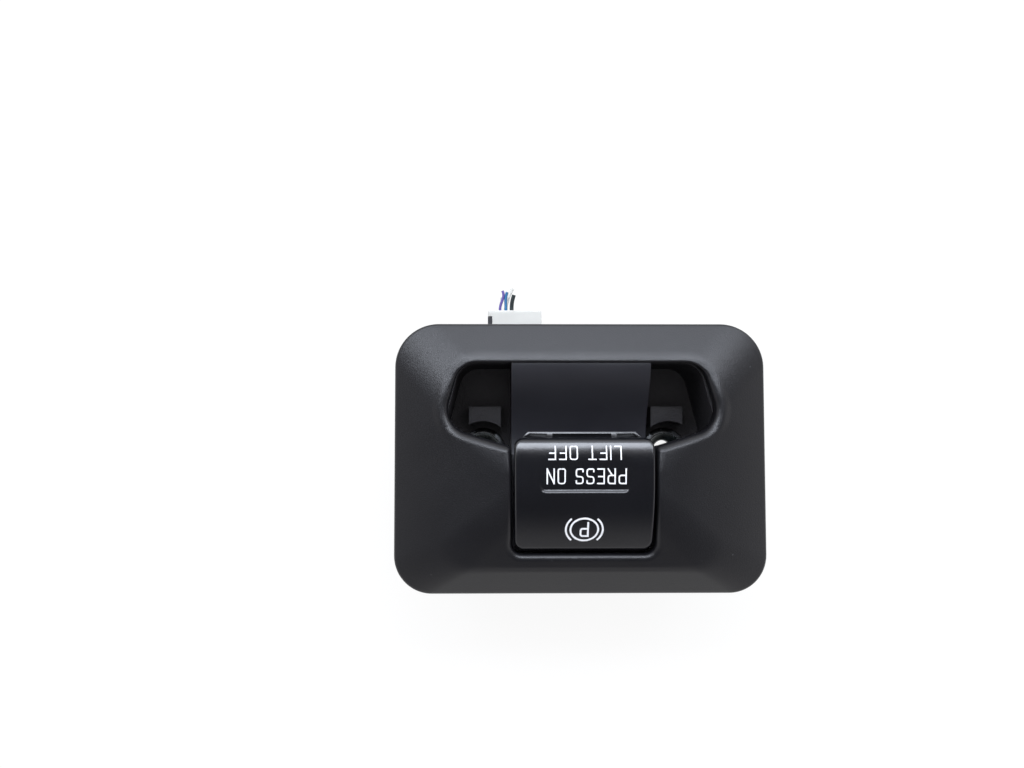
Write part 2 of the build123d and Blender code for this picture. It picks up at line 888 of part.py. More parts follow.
# Pull grip: a tongue with an upstanding rim and two pegs under the cap's lip
with BuildPart() as pull_grip:
    with BuildSketch(level(grip_bottom)):
        with BuildLine():
            Polyline(
                (grip_half, grip_y),
                (grip_root_half, grip_root_y),
                (grip_root_half, frame_front + seat_gap),
                (-grip_root_half, frame_front + seat_gap),
                (-grip_root_half, grip_root_y),
                (-grip_half, grip_y),
                close=True,
            )
        grip_face = make_face()
    extrude(amount=grip_thick)
    with BuildSketch(level(grip_bottom)):
        with Locations((0, (frame_front + seat_gap + grip_back_y) / 2)):
            Rectangle(2 * barrel_half - 1, frame_front + seat_gap - grip_back_y)
    extrude(amount=frame_bottom - grip_bottom)
    with BuildSketch(level(grip_bottom + grip_thick)):
        add(grip_face)
        with BuildLine():
            Polyline(
                (grip_half - grip_rim, grip_y - grip_rim),
                (grip_root_half - grip_side_rim, grip_root_y),
                (grip_root_half - grip_side_rim, 0),
                (-grip_root_half + grip_side_rim, 0),
                (-grip_root_half + grip_side_rim, grip_root_y),
                (-grip_half + grip_rim, grip_y - grip_rim),
                close=True,
            )
        make_face(mode=Mode.SUBTRACT)
        with Locations((0, 0)):
            Rectangle(3 * grip_half, 2 * grip_root_y + seat_gap, mode=Mode.SUBTRACT)
        for s in (-1, 1):
            with Locations((s * peg_x, (grip_y + cap_lip_y) / 2)):
                Rectangle(peg_width, grip_y - cap_lip_y)
    extrude(amount=grip_rim_height)
save(pull_grip, "pull_grip")

# Light guide that carries the lamps' light up to the legends
with BuildPart() as light_guide:
    guide_half = barrel_half - frame_cheek - seat_gap
    guide_low = pivot_y + barrel_radius + frame_cheek + seat_gap
    guide_high = frame_front - frame_cheek - seat_gap
    with BuildSketch(side_at(-guide_half)):
        with BuildLine():
            Polyline(
                (guide_low, guide_base),
                (guide_low, guide_low_top),
                (ceiling_bend_y, ceiling_z - seat_gap),
                (guide_high, ceiling_z - seat_gap),
                (guide_high, guide_base),
                close=True,
            )
        make_face()
    extrude(amount=2 * guide_half)
    with BuildSketch(level(stem_end)):
        with Locations((0, stem_y)):
            Rectangle(2 * stem_half, stem_thick)
    extrude(amount=guide_base - stem_end)
save(light_guide, "light_guide")


# Centring springs: one pair below the rocker's feet and one pair above them
def coil_springs(bottom, top, turns):
    with BuildPart() as springs:
        for s in (-1, 1):
            start = bottom + spring_wire / 2 + thread_clearance
            base = front.from_local_coords((s * spring_x, spring_y, start))
            height = top - bottom - spring_wire - 2 * thread_clearance
            with BuildLine() as path:
                Helix(pitch=height / turns, height=height, radius=spring_radius, center=base)
            with BuildSketch(Plane(path.line @ 0, z_dir=path.line % 0)):
                RegularPolygon(spring_wire / 2, 6)
            sweep(path=path.line, is_frenet=True)
    return springs


springs_lower = coil_springs(shelf_top, foot_top - foot_thick, 5)
save(springs_lower, "springs_lower")
springs_upper = coil_springs(foot_top, bridge_bottom, 4.5)
save(springs_upper, "springs_upper")

# Contact carriage: slides on the rails, driven by the rocker's arm in its fork
with BuildPart() as contact_carriage:
    carriage_y = (carriage_back + carriage_front) / 2
    carriage_long = carriage_front - carriage_back
    with BuildSketch(level(rail_top)):
        with Locations((0, carriage_y)):
            Rectangle(2 * (inner_half - slide_gap), carriage_long)
    extrude(amount=carriage_plate)
    with BuildSketch(level(carriage_bottom)):
        with Locations((0, carriage_y)):
            Rectangle(2 * (inner_half - rail_width - slide_gap), carriage_long)
    extrude(amount=rail_top - carriage_bottom)
    with BuildSketch(level(rail_top + carriage_plate)):
        for s in (-1, 1):
            offset_y = s * (tip_radius + thread_clearance + fork_wall / 2)
            with Locations((0, pivot_y + offset_y)):
                Rectangle(2 * arm_half + 3, fork_wall)
    extrude(amount=fork_top - rail_top - carriage_plate)
save(contact_carriage, "contact_carriage")

# Bronze wipers under the carriage
with BuildPart() as contact_wipers:
    for i in range(wiper_count):
        x = (i - (wiper_count - 1) / 2) * wiper_pitch
        with BuildSketch(side_at(x - wiper_width / 2)):
            with BuildLine():
                FilletPolyline(
                    (carriage_back + 0.5, carriage_bottom - wiper_gauge / 2),
                    (carriage_back + 3.0, carriage_bottom - wiper_gauge / 2),
                    (carriage_front - 2.0, board_top + wiper_gauge + 0.1),
                    (carriage_front - 0.6, board_top + wiper_gauge + 0.6),
                    radius=0.8,
                )
            trace(line_width=wiper_gauge)
        extrude(amount=wiper_width)
save(contact_wipers, "contact_wipers")

# Circuit board, cut back round the socket and carried on under the header's rows
with BuildPart() as circuit_board:
    with BuildSketch(level(board_top - board_thick)):
        with Locations((0, (board_lower + board_step) / 2)):
            Rectangle(2 * board_half, board_step - board_lower)
        with Locations(((board_notch + board_half) / 2, (board_step + board_upper) / 2)):
            Rectangle(board_half - board_notch, board_upper - board_step)
        with Locations(((board_left - board_half) / 2, (board_tongue + board_step) / 2)):
            Rectangle(-board_half - board_left, board_step - board_tongue)
        with Locations(*cover_screws):
            Circle(screw_radius + screw_play, mode=Mode.SUBTRACT)
        with Locations(*[(x, y) for x, y, z in pin_feet]):
            Circle(pin_size * 0.75, mode=Mode.SUBTRACT)
    extrude(amount=board_thick)
save(circuit_board, "circuit_board")

# Lamps under the light guide
with BuildPart() as indicator_lamps:
    with BuildSketch(level(board_top)):
        with Locations((-lamp_x, stem_y), (lamp_x, stem_y)):
            Rectangle(lamp_wide, lamp_long)
    extrude(amount=lamp_thick)
    with BuildSketch(level(board_top + lamp_thick)):
        with Locations((-lamp_x, stem_y), (lamp_x, stem_y)):
            Circle(lens_radius)
    extrude(amount=lens_thick)
save(indicator_lamps, "indicator_lamps")

# Control chip with its gull-wing leads
with BuildPart() as control_chip:
    with BuildSketch(level(board_top + chip_stand)):
        with Locations((chip_x, chip_y)):
            Rectangle(chip_size, chip_size)
    extrude(amount=chip_thick)
    with BuildSketch(level(board_top)):
        for i in range(chip_leads):
            along = (i - (chip_leads - 1) / 2) * chip_pitch
            reach = (chip_size + lead_long) / 2 - seat_gap
            with Locations((chip_x + along, chip_y + reach), (chip_x + along, chip_y - reach)):
                Rectangle(lead_width, lead_long)
            with Locations((chip_x + reach, chip_y + along), (chip_x - reach, chip_y + along)):
                Rectangle(lead_long, lead_width)
    extrude(amount=lead_thick)
save(control_chip, "control_chip")

# Resistors and capacitors in a row beside the chip
with BuildPart() as chip_components:
    with BuildSketch(level(board_top)):
        with Locations((chip_part_x, chip_part_y)):
            with GridLocations(chip_part_pitch, 1, chip_part_count, 1):
                Rectangle(chip_part_wide, chip_part_long)
    extrude(amount=chip_part_thick)
save(chip_components, "chip_components")

# Header pins: two rows, bent up through the board
with BuildPart() as header_pins:
    for x, y, z in pin_feet:
        with BuildSketch(side_at(x - pin_size / 2)):
            with BuildLine():
                half = pin_size / 2
                Polyline(
                    (y - half, board_top + pin_proud),
                    (y - half, z - half),
                    (pin_tip, z - half),
                    (pin_tip, z + half),
                    (y + half, z + half),
                    (y + half, board_top + pin_proud),
                    close=True,
                )
            make_face()
        extrude(amount=pin_size)
save(header_pins, "header_pins")

# Rear cover with the connector's shroud at one corner
with BuildPart() as rear_cover:
    main_mid = (housing_upper + housing_lower) / 2
    main_long = housing_upper - housing_lower
    shroud_top = plug_z + plug_height / 2 + plug_gap + shroud_wall
    shroud_low = plug_z - plug_height / 2 - plug_gap - shroud_wall
    with BuildSketch(level(cover_back)):
        with Locations((0, main_mid)):
            RectangleRounded(2 * housing_half, main_long, 1.5)
    extrude(amount=floor_bottom - cover_back)
    with BuildSketch(level(shroud_low)):
        with Locations((plug_x, (shroud_root + shroud_end) / 2)):
            RectangleRounded(2 * shroud_half, shroud_end - shroud_root, 1.0)
    extrude(amount=shroud_top - shroud_low)
    # Room for the board and the bends of the pins
    with BuildSketch(level(cover_back + cover_wall)):
        with Locations((0, main_mid)):
            Rectangle(2 * (housing_half - cover_wall), main_long - 2 * cover_wall)
        with Locations((plug_x, (shroud_back + shroud_end) / 2 - cover_wall)):
            Rectangle(2 * shroud_half, shroud_end - shroud_back, mode=Mode.SUBTRACT)
    extrude(amount=floor_bottom - cover_back, mode=Mode.SUBTRACT)
    with BuildSketch(level(shroud_low + cover_wall)):
        with Locations(((board_left - board_half) / 2, (board_tongue + board_step) / 2)):
            Rectangle(-board_half - board_left + 2 * slide_gap, board_step - board_tongue + 2 * seat_gap)
    extrude(amount=shroud_top - shroud_low, mode=Mode.SUBTRACT)
    # Socket for the plug, and the holes that hold the pins
    with BuildSketch(plane_at(plug_x, shroud_end, plug_z)):
        Rectangle(plug_width + 2 * plug_gap, plug_height + 2 * plug_gap)
    extrude(amount=-(shroud_end - shroud_back), mode=Mode.SUBTRACT)
    for x, y, z in pin_feet:
        with BuildSketch(plane_at(x, shroud_back, z)):
            Rectangle(pin_size + 2 * thread_clearance, pin_size + 2 * thread_clearance)
        extrude(amount=-3 * cover_wall, mode=Mode.SUBTRACT)
    # Posts for the cover's screws, with sunk seats for their heads
    with BuildSketch(level(cover_back)):
        with Locations(*cover_screws):
            Circle(cover_post_radius)
    extrude(amount=board_top - board_thick - cover_back)
    with BuildSketch(level(cover_back)):
        with Locations(*cover_screws):
            Circle(screw_radius + thread_clearance)
    extrude(amount=board_top - cover_back, mode=Mode.SUBTRACT)
    with BuildSketch(level(cover_back)):
        with Locations(*cover_screws):
            Circle(screw_head_radius + 0.15)
    extrude(amount=screw_head + 0.3, mode=Mode.SUBTRACT)
    # Tabs that are screwed to the carrier's back
    with BuildSketch(level(floor_bottom - tab_thick)):
        with Locations(*tab_spots):
            Circle(tab_boss_radius)
        with Locations(*tab_webs):
            Rectangle(2 * tab_boss_radius, 2 * tab_boss_radius)
        with Locations((0, main_mid)):
            Rectangle(2 * housing_half - cover_wall, main_long - cover_wall, mode=Mode.SUBTRACT)
        with Locations(*tab_spots):
            Circle(screw_radius + screw_play, mode=Mode.SUBTRACT)
    extrude(amount=tab_thick)
save(rear_cover, "rear_cover")


# Pan-head screws driven from behind
def screws(spots, seat, length):
    with BuildPart() as group:
        with BuildSketch(level(seat)):
            with Locations(*spots):
                Circle(screw_radius)
        extrude(amount=length)
        with BuildSketch(level(seat - screw_head)):
            with Locations(*spots):
                Circle(screw_head_radius)
        extrude(amount=screw_head)
        heads = group.faces().sort_by(Axis.Z)[: len(spots)]
        fillet(heads.edges(), radius=0.6)
    return group


bezel_screws = screws(
    [(s * boss_x, y) for s in (-1, 1) for y in boss_ys], flange_top - flange_thick, bezel_screw_length
)
save(bezel_screws, "bezel_screws")
module_screws = screws(tab_spots, floor_bottom - tab_thick, module_screw_length)
save(module_screws, "module_screws")
cover_fixings = screws(cover_screws, cover_back + screw_head + 0.3, cover_screw_length)
save(cover_fixings, "cover_screws")

# Plug: cut-off harness connector, with rows of cavities through it and a locking arm on top
with BuildPart() as plug_housing:
    with BuildSketch(level(plug_z - plug_height / 2)):
        with Locations((plug_x, (plug_nose + plug_end) / 2)):
            Rectangle(plug_width, plug_end - plug_nose)
        with Locations((plug_x - plug_width / 2, notch_y)):
            Rectangle(2 * notch_deep, notch_long, mode=Mode.SUBTRACT)
    extrude(amount=plug_height)
    rear = plug_housing.faces().sort_by(Axis.Y)[-1]
    chamfer(rear.edges(), length=0.5)
    for i in range(pin_columns):
        for row in (-1, 1):
            x = plug_x + (i - (pin_columns - 1) / 2) * pin_pitch
            z = plug_z + row * row_offset
            with BuildSketch(plane_at(x, plug_nose, z)):
                Rectangle(cavity_size, cavity_size)
            extrude(amount=plug_end - plug_nose - cavity_wall, mode=Mode.SUBTRACT)
            with BuildSketch(plane_at(x, plug_end, z)):
                Circle(cavity_size / 2)
            extrude(amount=-cavity_wall, mode=Mode.SUBTRACT)
    # Slot for the lock
    with BuildSketch(level(plug_z - plug_height / 2)):
        with Locations((plug_x, lock_y)):
            Rectangle(lock_width + 2 * plug_gap, lock_long + 2 * plug_gap)
    extrude(amount=lock_depth + plug_gap, mode=Mode.SUBTRACT)
save(plug_housing, "plug_housing")

# Terminal lock pushed into the plug from below
with BuildPart() as plug_lock:
    with BuildSketch(level(plug_z - plug_height / 2)):
        with Locations((plug_x, lock_y)):
            Rectangle(lock_width, lock_long)
    extrude(amount=lock_depth)
save(plug_lock, "plug_lock")

# Crimp terminals of the wires that are fitted
with BuildPart() as crimp_terminals:
    for colour, radius, column, row, tip_x, tip_y in wires:
        x = plug_x + (column - (pin_columns - 1) / 2) * pin_pitch
        z = plug_z + row * row_offset
        with BuildSketch(plane_at(x, crimp_start, z)):
            Rectangle(crimp_size, crimp_size)
            Rectangle(crimp_size - 2 * crimp_wall, crimp_size - 2 * crimp_wall, mode=Mode.SUBTRACT)
        extrude(amount=crimp_end - crimp_start)
save(crimp_terminals, "crimp_terminals")

# Wire stubs, cut a finger's breadth from the plug and a little splayed
for colour, radius, column, row, tip_x, tip_y in wires:
    x = plug_x + (column - (pin_columns - 1) / 2) * pin_pitch
    z = plug_z + row * row_offset
    root = front.from_local_coords((x, crimp_end + plug_gap, z))
    mouth = front.from_local_coords((x, plug_end + wire_straight, z))
    tip = front.from_local_coords((tip_x, tip_y, plug_z + row * row_offset * 1.2))
    with BuildPart() as wire:
        with BuildLine() as lead:
            FilletPolyline(root, mouth, tip, radius=wire_bend)
        with BuildSketch(Plane(root, z_dir=(0, 1, 0))):
            Circle(radius)
        sweep(path=lead.line)
    save(wire, f"wire_{colour}")
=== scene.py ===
import json
import math

import bmesh
import bpy
import numpy as np
from mathutils import Matrix, Vector


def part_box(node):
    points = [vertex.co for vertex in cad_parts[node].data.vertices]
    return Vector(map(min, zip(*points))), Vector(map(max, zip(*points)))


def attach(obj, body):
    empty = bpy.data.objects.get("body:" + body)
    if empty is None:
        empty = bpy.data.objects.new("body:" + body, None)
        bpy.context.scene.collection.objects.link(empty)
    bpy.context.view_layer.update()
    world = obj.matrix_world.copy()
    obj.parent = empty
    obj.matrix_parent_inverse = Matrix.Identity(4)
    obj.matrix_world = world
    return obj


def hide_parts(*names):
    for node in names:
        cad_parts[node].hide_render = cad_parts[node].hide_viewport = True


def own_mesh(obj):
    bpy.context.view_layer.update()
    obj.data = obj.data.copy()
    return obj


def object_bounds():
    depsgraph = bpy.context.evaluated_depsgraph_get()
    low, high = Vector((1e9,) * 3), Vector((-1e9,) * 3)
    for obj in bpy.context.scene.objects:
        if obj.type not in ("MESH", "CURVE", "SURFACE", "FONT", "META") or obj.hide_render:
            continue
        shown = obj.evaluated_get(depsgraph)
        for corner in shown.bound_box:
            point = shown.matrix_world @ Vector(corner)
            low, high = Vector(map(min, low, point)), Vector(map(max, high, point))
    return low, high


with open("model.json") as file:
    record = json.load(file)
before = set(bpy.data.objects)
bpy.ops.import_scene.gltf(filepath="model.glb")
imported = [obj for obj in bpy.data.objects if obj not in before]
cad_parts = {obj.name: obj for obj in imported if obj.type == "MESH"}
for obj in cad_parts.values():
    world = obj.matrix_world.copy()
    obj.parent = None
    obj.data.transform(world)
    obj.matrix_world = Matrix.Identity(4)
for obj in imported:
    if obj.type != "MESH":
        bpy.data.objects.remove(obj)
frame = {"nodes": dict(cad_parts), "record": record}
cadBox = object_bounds()
mm = 0.001
rimDepth = 2.0  # mm, from the bezel's visible edge down to the panel it lies on
weld, cadWeld = 0.0005, 0.002  # mm, points closer than this are made one

# The face's own coordinates: middle of the bezel, on the plane of its visible edge, in mm
bezelLow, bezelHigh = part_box("bezel")
panelSeat = {m["name"]: m for m in frame["record"]["mounts"]}["panel_seat"]
faceMiddle = Vector((0.0, (bezelLow.y + bezelHigh.y) / 2 / mm, panelSeat["pos_m"][2] / mm + rimDepth))
print("frame loaded:", len(frame["nodes"]), "CAD nodes")


# Small helpers

def linear(hexColour):
    # sRGB hex to the linear values that shaders take
    parts = [int(hexColour[i:i + 2], 16) / 255 for i in (1, 3, 5)]
    return [p / 12.92 if p <= 0.04045 else ((p + 0.055) / 1.055) ** 2.4 for p in parts] + [1.0]


def addNode(tree, kind, inputs=None, **settings):
    # Adds a node; an input is either a value or the socket that feeds it
    node = tree.nodes.new(kind)
    for name, value in settings.items():
        setattr(node, name, value)
    for name, value in (inputs or {}).items():
        if isinstance(value, bpy.types.NodeSocket):
            tree.links.new(value, node.inputs[name])
        else:
            node.inputs[name].default_value = value
    return node


def startMaterial(name):
    material = bpy.data.materials.new(name)
    material.use_nodes = True
    tree = material.node_tree
    where = addNode(tree, "ShaderNodeTexCoord").outputs["Object"]
    return material, tree, tree.nodes["Principled BSDF"], where


def perMm(size):
    # Texture scale for a pattern whose features are that many mm apart
    return 1 / (size * mm)


# Materials: each starts from the real stuff and the way its surface was made

def grained(name, look, metal=False):
    # Grain of a moulding tool or marks of a cutting one, slow changes of tone and gloss, some dust
    material, tree, shader, where = startMaterial(name)
    grain = addNode(tree, "ShaderNodeTexNoise",
                    {"Vector": where, "Scale": perMm(look["grain"]), "Detail": 3.0 if metal else 2.0,
                     "Roughness": 0.65 if metal else 0.6})
    slow = addNode(tree, "ShaderNodeTexNoise",
                   {"Vector": where, "Scale": perMm(look["toneSize"]), "Detail": 2.0 if metal else 3.0})
    colour = addNode(tree, "ShaderNodeMix",
                     {"Factor": slow.outputs["Fac"], "A": linear(look["dark"]), "B": linear(look["pale"])},
                     data_type="RGBA").outputs["Result"]
    if "dust" in look:
        specks = addNode(tree, "ShaderNodeTexNoise",
                         {"Vector": where, "Scale": perMm(look["dustSize"]), "Detail": 1.0})
        few = addNode(tree, "ShaderNodeMapRange",
                      {"Value": specks.outputs["Fac"], "From Min": look["dust"],
                       "From Max": look["dust"] + 0.03})
        colour = addNode(tree, "ShaderNodeMix",
                         {"Factor": few.outputs["Result"], "A": colour, "B": linear(look["dustColour"])},
                         data_type="RGBA").outputs["Result"]
    rough = addNode(tree, "ShaderNodeMapRange",
                    {"Value": slow.outputs["Fac"], "From Min": 0.3, "From Max": 0.7,
                     "To Min": look["rough"][0], "To Max": look["rough"][1]})
    bump = addNode(tree, "ShaderNodeBump",
                   {"Height": grain.outputs["Fac"], "Strength": look["bump"], "Distance": look["grain"] * mm})
    tree.links.new(colour, shader.inputs["Base Color"])
    tree.links.new(rough.outputs["Result"], shader.inputs["Roughness"])
    tree.links.new(bump.outputs["Normal"], shader.inputs["Normal"])
    if metal:
        shader.inputs["Metallic"].default_value = 1.0
    else:
        shader.inputs["IOR"].default_value = look.get("ior", 1.5)
    return material


# Bezel: black ABS, fine spark-eroded grain, so its slopes shine softly and never mirror
mouldedAbs = grained("mouldedAbs", {
    "dark": "#0F0F12", "pale": "#131316", "toneSize": 18.0, "grain": 0.35, "bump": 0.14,
    "rough": (0.34, 0.39), "dust": 0.8, "dustSize": 1.3, "dustColour": "#3A3B3E"})
# Carrier, cover and the block of painted shade in the plug's notch: glass-filled nylon, duller and a little
# greyer, flow marks
# Part of this grey is painted light: the tone is lifted above the bare nylon to stand in for the glare that
# greys the shaded pockets
glassNylon = grained("glassFilledNylon", {
    "dark": "#242326", "pale": "#2A292C", "toneSize": 9.0, "grain": 0.5, "bump": 0.22,
    "rough": (0.55, 0.68)})
# Scoop panel: the same nylon from a polished tool, a satin sheen with a bluish cast
satinNylon = grained("satinNylon", {
    "dark": "#1D1D22", "pale": "#232328", "toneSize": 14.0, "grain": 0.3, "bump": 0.08,
    "rough": (0.42, 0.5)})
# Button: black polycarbonate from a mirror-polished tool, deep gloss with the faintest waviness
polishedPolycarbonate = grained("polishedPolycarbonate", {
    "dark": "#0E0E11", "pale": "#121317", "toneSize": 12.0, "grain": 2.5, "bump": 0.012,
    "rough": (0.16, 0.2), "ior": 1.58})
# Rocker frame and carriage: acetal, waxy and half matt
mouldedAcetal = grained("mouldedAcetal", {
    "dark": "#18191B", "pale": "#1E1F21", "toneSize": 7.0, "grain": 0.6, "bump": 0.1,
    "rough": (0.35, 0.45)})
# Plug: natural PBT, off-white and faintly cold
naturalPbt = grained("naturalPbt", {
    "dark": "#B8B8B3", "pale": "#C4C4BF", "toneSize": 6.0, "grain": 0.4, "bump": 0.12,
    "rough": (0.42, 0.55)})
# Chip: moulded epoxy, matt and nearly black
mouldedEpoxy = grained("mouldedEpoxy", {
    "dark": "#17181A", "pale": "#222325", "toneSize": 2.0, "grain": 0.2, "bump": 0.2,
    "rough": (0.6, 0.7)})
# Small parts of the board: fired ceramic, a dull tan
firedCeramic = grained("firedCeramic", {
    "dark": "#84714F", "pale": "#A08A66", "toneSize": 1.0, "grain": 0.2, "bump": 0.1,
    "rough": (0.4, 0.5)})
# Indicator lamps: resin that scatters its light, milky and slightly yellow
diffusingResin = grained("diffusingResin", {
    "dark": "#DAD5BD", "pale": "#ECE9DA", "toneSize": 1.5, "grain": 0.3, "bump": 0.05,
    "rough": (0.3, 0.4)})
# Legends: white ink, pad printed, with the slight unevenness of the print
padPrintInk = grained("padPrintInk", {
    "dark": "#D2D4D8", "pale": "#EBECEE", "toneSize": 1.2, "grain": 0.2, "bump": 0.05,
    "rough": (0.45, 0.55)})


def extrudedPvc(name, dark, pale):
    # Wire insulation: smooth PVC with faint lengthwise streaks from the die
    return grained(name, {
        "dark": dark, "pale": pale, "toneSize": 1.5, "grain": 0.25, "bump": 0.08,
        "rough": (0.3, 0.42)})


# Bushes and screws: steel with bright zinc plate, a bluish grey that mirrors softly
zincPlatedSteel = grained("zincPlatedSteel", {
    "dark": "#9DA1A4", "pale": "#BFC2C4", "grain": 0.25, "toneSize": 3.0,
    "rough": (0.2, 0.28), "bump": 0.02}, metal=True)
# Bores of the bushes: a darker copy of the same steel, painted shade for the deep hollow that looks almost
# black from above
boreShadeSteel = grained("boreShadeSteel", {
    "dark": "#3A3F40", "pale": "#4A5051", "grain": 0.3, "toneSize": 2.0,
    "rough": (0.26, 0.36), "bump": 0.04}, metal=True)
# Springs and clips: cold-rolled spring steel, darker and slightly brown
springSteel = grained("springSteel", {
    "dark": "#6F7174", "pale": "#8E9092", "grain": 0.2, "toneSize": 2.5,
    "rough": (0.28, 0.4), "bump": 0.08}, metal=True)
# Contacts, pins and crimps: tinned bronze
tinnedBronze = grained("tinnedBronze", {
    "dark": "#B39A66", "pale": "#CDBB92", "grain": 0.15, "toneSize": 1.5,
    "rough": (0.25, 0.35), "bump": 0.05}, metal=True)
# Wire cores: drawn copper
drawnCopper = grained("drawnCopper", {
    "dark": "#B06A48", "pale": "#CE8C66", "grain": 0.1, "toneSize": 0.8,
    "rough": (0.25, 0.4), "bump": 0.08}, metal=True)


def solderMask():
    # Circuit board: glossy green lacquer over copper tracks that show as paler lines
    material, tree, shader, where = startMaterial("solderMaskedBoard")
    tracks = addNode(tree, "ShaderNodeTexBrick",
                     {"Vector": where, "Color1": linear("#1C4F33"), "Color2": linear("#21593A"),
                      "Mortar": linear("#2F7450"), "Scale": perMm(6.0), "Mortar Size": 0.03})
    weave = addNode(tree, "ShaderNodeTexNoise", {"Vector": where, "Scale": perMm(0.5)})
    bump = addNode(tree, "ShaderNodeBump",
                   {"Height": weave.outputs["Fac"], "Strength": 0.05, "Distance": 0.2 * mm})
    tree.links.new(tracks.outputs["Color"], shader.inputs["Base Color"])
    tree.links.new(bump.outputs["Normal"], shader.inputs["Normal"])
    shader.inputs["Roughness"].default_value = 0.3
    return material


def clearPolycarbonate():
    # Light guide: clear moulding, faintly smoky in its thickness
    material, tree, shader, where = startMaterial("clearPolycarbonate")
    flow = addNode(tree, "ShaderNodeTexNoise", {"Vector": where, "Scale": perMm(4.0)})
    tone = addNode(tree, "ShaderNodeMix",
                   {"Factor": flow.outputs["Fac"], "A": linear("#E3E6E6"), "B": linear("#F2F4F4")},
                   data_type="RGBA")
    tree.links.new(tone.outputs["Result"], shader.inputs["Base Color"])
    shader.inputs["Roughness"].default_value = 0.08
    shader.inputs["IOR"].default_value = 1.58
    shader.inputs["Transmission Weight"].default_value = 0.9
    return material


solderMaskedBoard = solderMask()
clearGuide = clearPolycarbonate()
wireLooks = {
    "violet": extrudedPvc("violetPvc", "#4F4284", "#63559A"),
    "grey": extrudedPvc("greyPvc", "#A9ABAD", "#B7B9BA"),
    "blue": extrudedPvc("bluePvc", "#255C88", "#316E9C"),
    "white": extrudedPvc("whitePvc", "#C0C0BB", "#CACAC5"),
    "black": extrudedPvc("blackPvc", "#1A2123", "#242D2F"),
}
print("materials made:", len(bpy.data.materials))


# Mesh helpers, all in mm in the face's own coordinates

def joined(*parts):
    # Several (points, faces) as one
    points, faces = [], []
    for morePoints, moreFaces in parts:
        start = len(points)
        points += [tuple(p) for p in morePoints]
        faces += [[start + i for i in face] for face in moreFaces]
    return points, faces


def addPiece(name, shape, material, body, nodes=(), sharpAngle=35):
    points, faces = shape
    mesh = bpy.data.meshes.new(name)
    mesh.from_pydata([tuple((Vector(p) + faceMiddle) * mm) for p in points], [], faces)
    work = bmesh.new()
    work.from_mesh(mesh)
    bmesh.ops.remove_doubles(work, verts=work.verts, dist=weld * mm)
    bmesh.ops.recalc_face_normals(work, faces=work.faces)
    work.to_mesh(mesh)
    work.free()
    return dressed(name, mesh, material, body, nodes, sharpAngle)


def dressed(name, mesh, material, body, nodes, sharpAngle):
    mesh.polygons.foreach_set("use_smooth", [True] * len(mesh.polygons))
    mesh.set_sharp_from_angle(angle=math.radians(sharpAngle))
    mesh.materials.clear()
    mesh.materials.append(material)
    piece = bpy.data.objects.new(name, mesh)
    bpy.context.scene.collection.objects.link(piece)
    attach(piece, body)
    if nodes:
        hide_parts(*nodes)
    return piece


def softened(name, node, width, material, body, sharpAngle=40):
    # A copy of a CAD node whose hard edges get the small radius of a moulding tool
    mesh = frame["nodes"][node].data.copy()
    mesh.name = name
    work = bmesh.new()
    work.from_mesh(mesh)
    bmesh.ops.remove_doubles(work, verts=work.verts, dist=cadWeld * mm)
    bmesh.ops.dissolve_limit(work, angle_limit=math.radians(0.5), verts=work.verts, edges=work.edges)
    hard = [e for e in work.edges if len(e.link_faces) == 2 and e.calc_face_angle() > math.radians(38)]
    bmesh.ops.bevel(work, geom=hard, offset=width * mm, segments=2, profile=0.6, affect="EDGES",
                    clamp_overlap=False, harden_normals=False)
    bmesh.ops.triangulate(work, faces=[f for f in work.faces if len(f.verts) > 4])
    work.to_mesh(mesh)
    work.free()
    return dressed(name, mesh, material, body, (node,), sharpAngle)


def islands(node):
    # The separate solids of a CAD node, as (low corner, high corner) in the face's coordinates
    work = bmesh.new()
    work.from_mesh(frame["nodes"][node].data)
    bmesh.ops.remove_doubles(work, verts=work.verts, dist=cadWeld * mm)
    left, found = set(work.verts), []
    while left:
        group, queue = [], [left.pop()]
        while queue:
            vert = queue.pop()
            group.append(vert.co / mm - faceMiddle)
            for edge in vert.link_edges:
                other = edge.other_vert(vert)
                if other in left:
                    left.remove(other)
                    queue.append(other)
        co = np.array(group)
        found.append((Vector(co.min(0)), Vector(co.max(0))))
    work.free()
    return sorted(found, key=lambda box: (round(box[0].x, 1), round(box[0].y, 1)))


def ringFaces(ringCount, count, closed=False):
    # Quads between rings that hold the same number of points
    faces = []
    for r in range(ringCount if closed else ringCount - 1):
        a, b = r * count, ((r + 1) % ringCount) * count
        for i in range(count):
            j = (i + 1) % count
            faces.append([a + i, a + j, b + j, b + i])
    return faces


def cappedRings(ringCount, count):
    # The same with a face over the first and the last ring
    last = (ringCount - 1) * count
    return ringFaces(ringCount, count) + [list(range(count)), list(range(last, last + count))]


def rectangle(firstX, lowY, otherX, highY):
    return [(firstX, lowY), (firstX, highY), (otherX, highY), (otherX, lowY)]


def turned(profile, centre, steps=48, lobes=None):
    # Revolves (radius, height) pairs about Z; lobes = (how many, depth, first, last ring) waves a socket
    points = []
    for k, (radius, height) in enumerate(profile):
        for i in range(steps):
            angle = 2 * math.pi * i / steps
            wave = 1.0
            if lobes and lobes[2] <= k <= lobes[3]:
                wave = 1 + lobes[1] * math.cos(lobes[0] * angle)
            points.append((centre[0] + radius * wave * math.cos(angle),
                           centre[1] + radius * wave * math.sin(angle), height))
    return points, ringFaces(len(profile), steps)


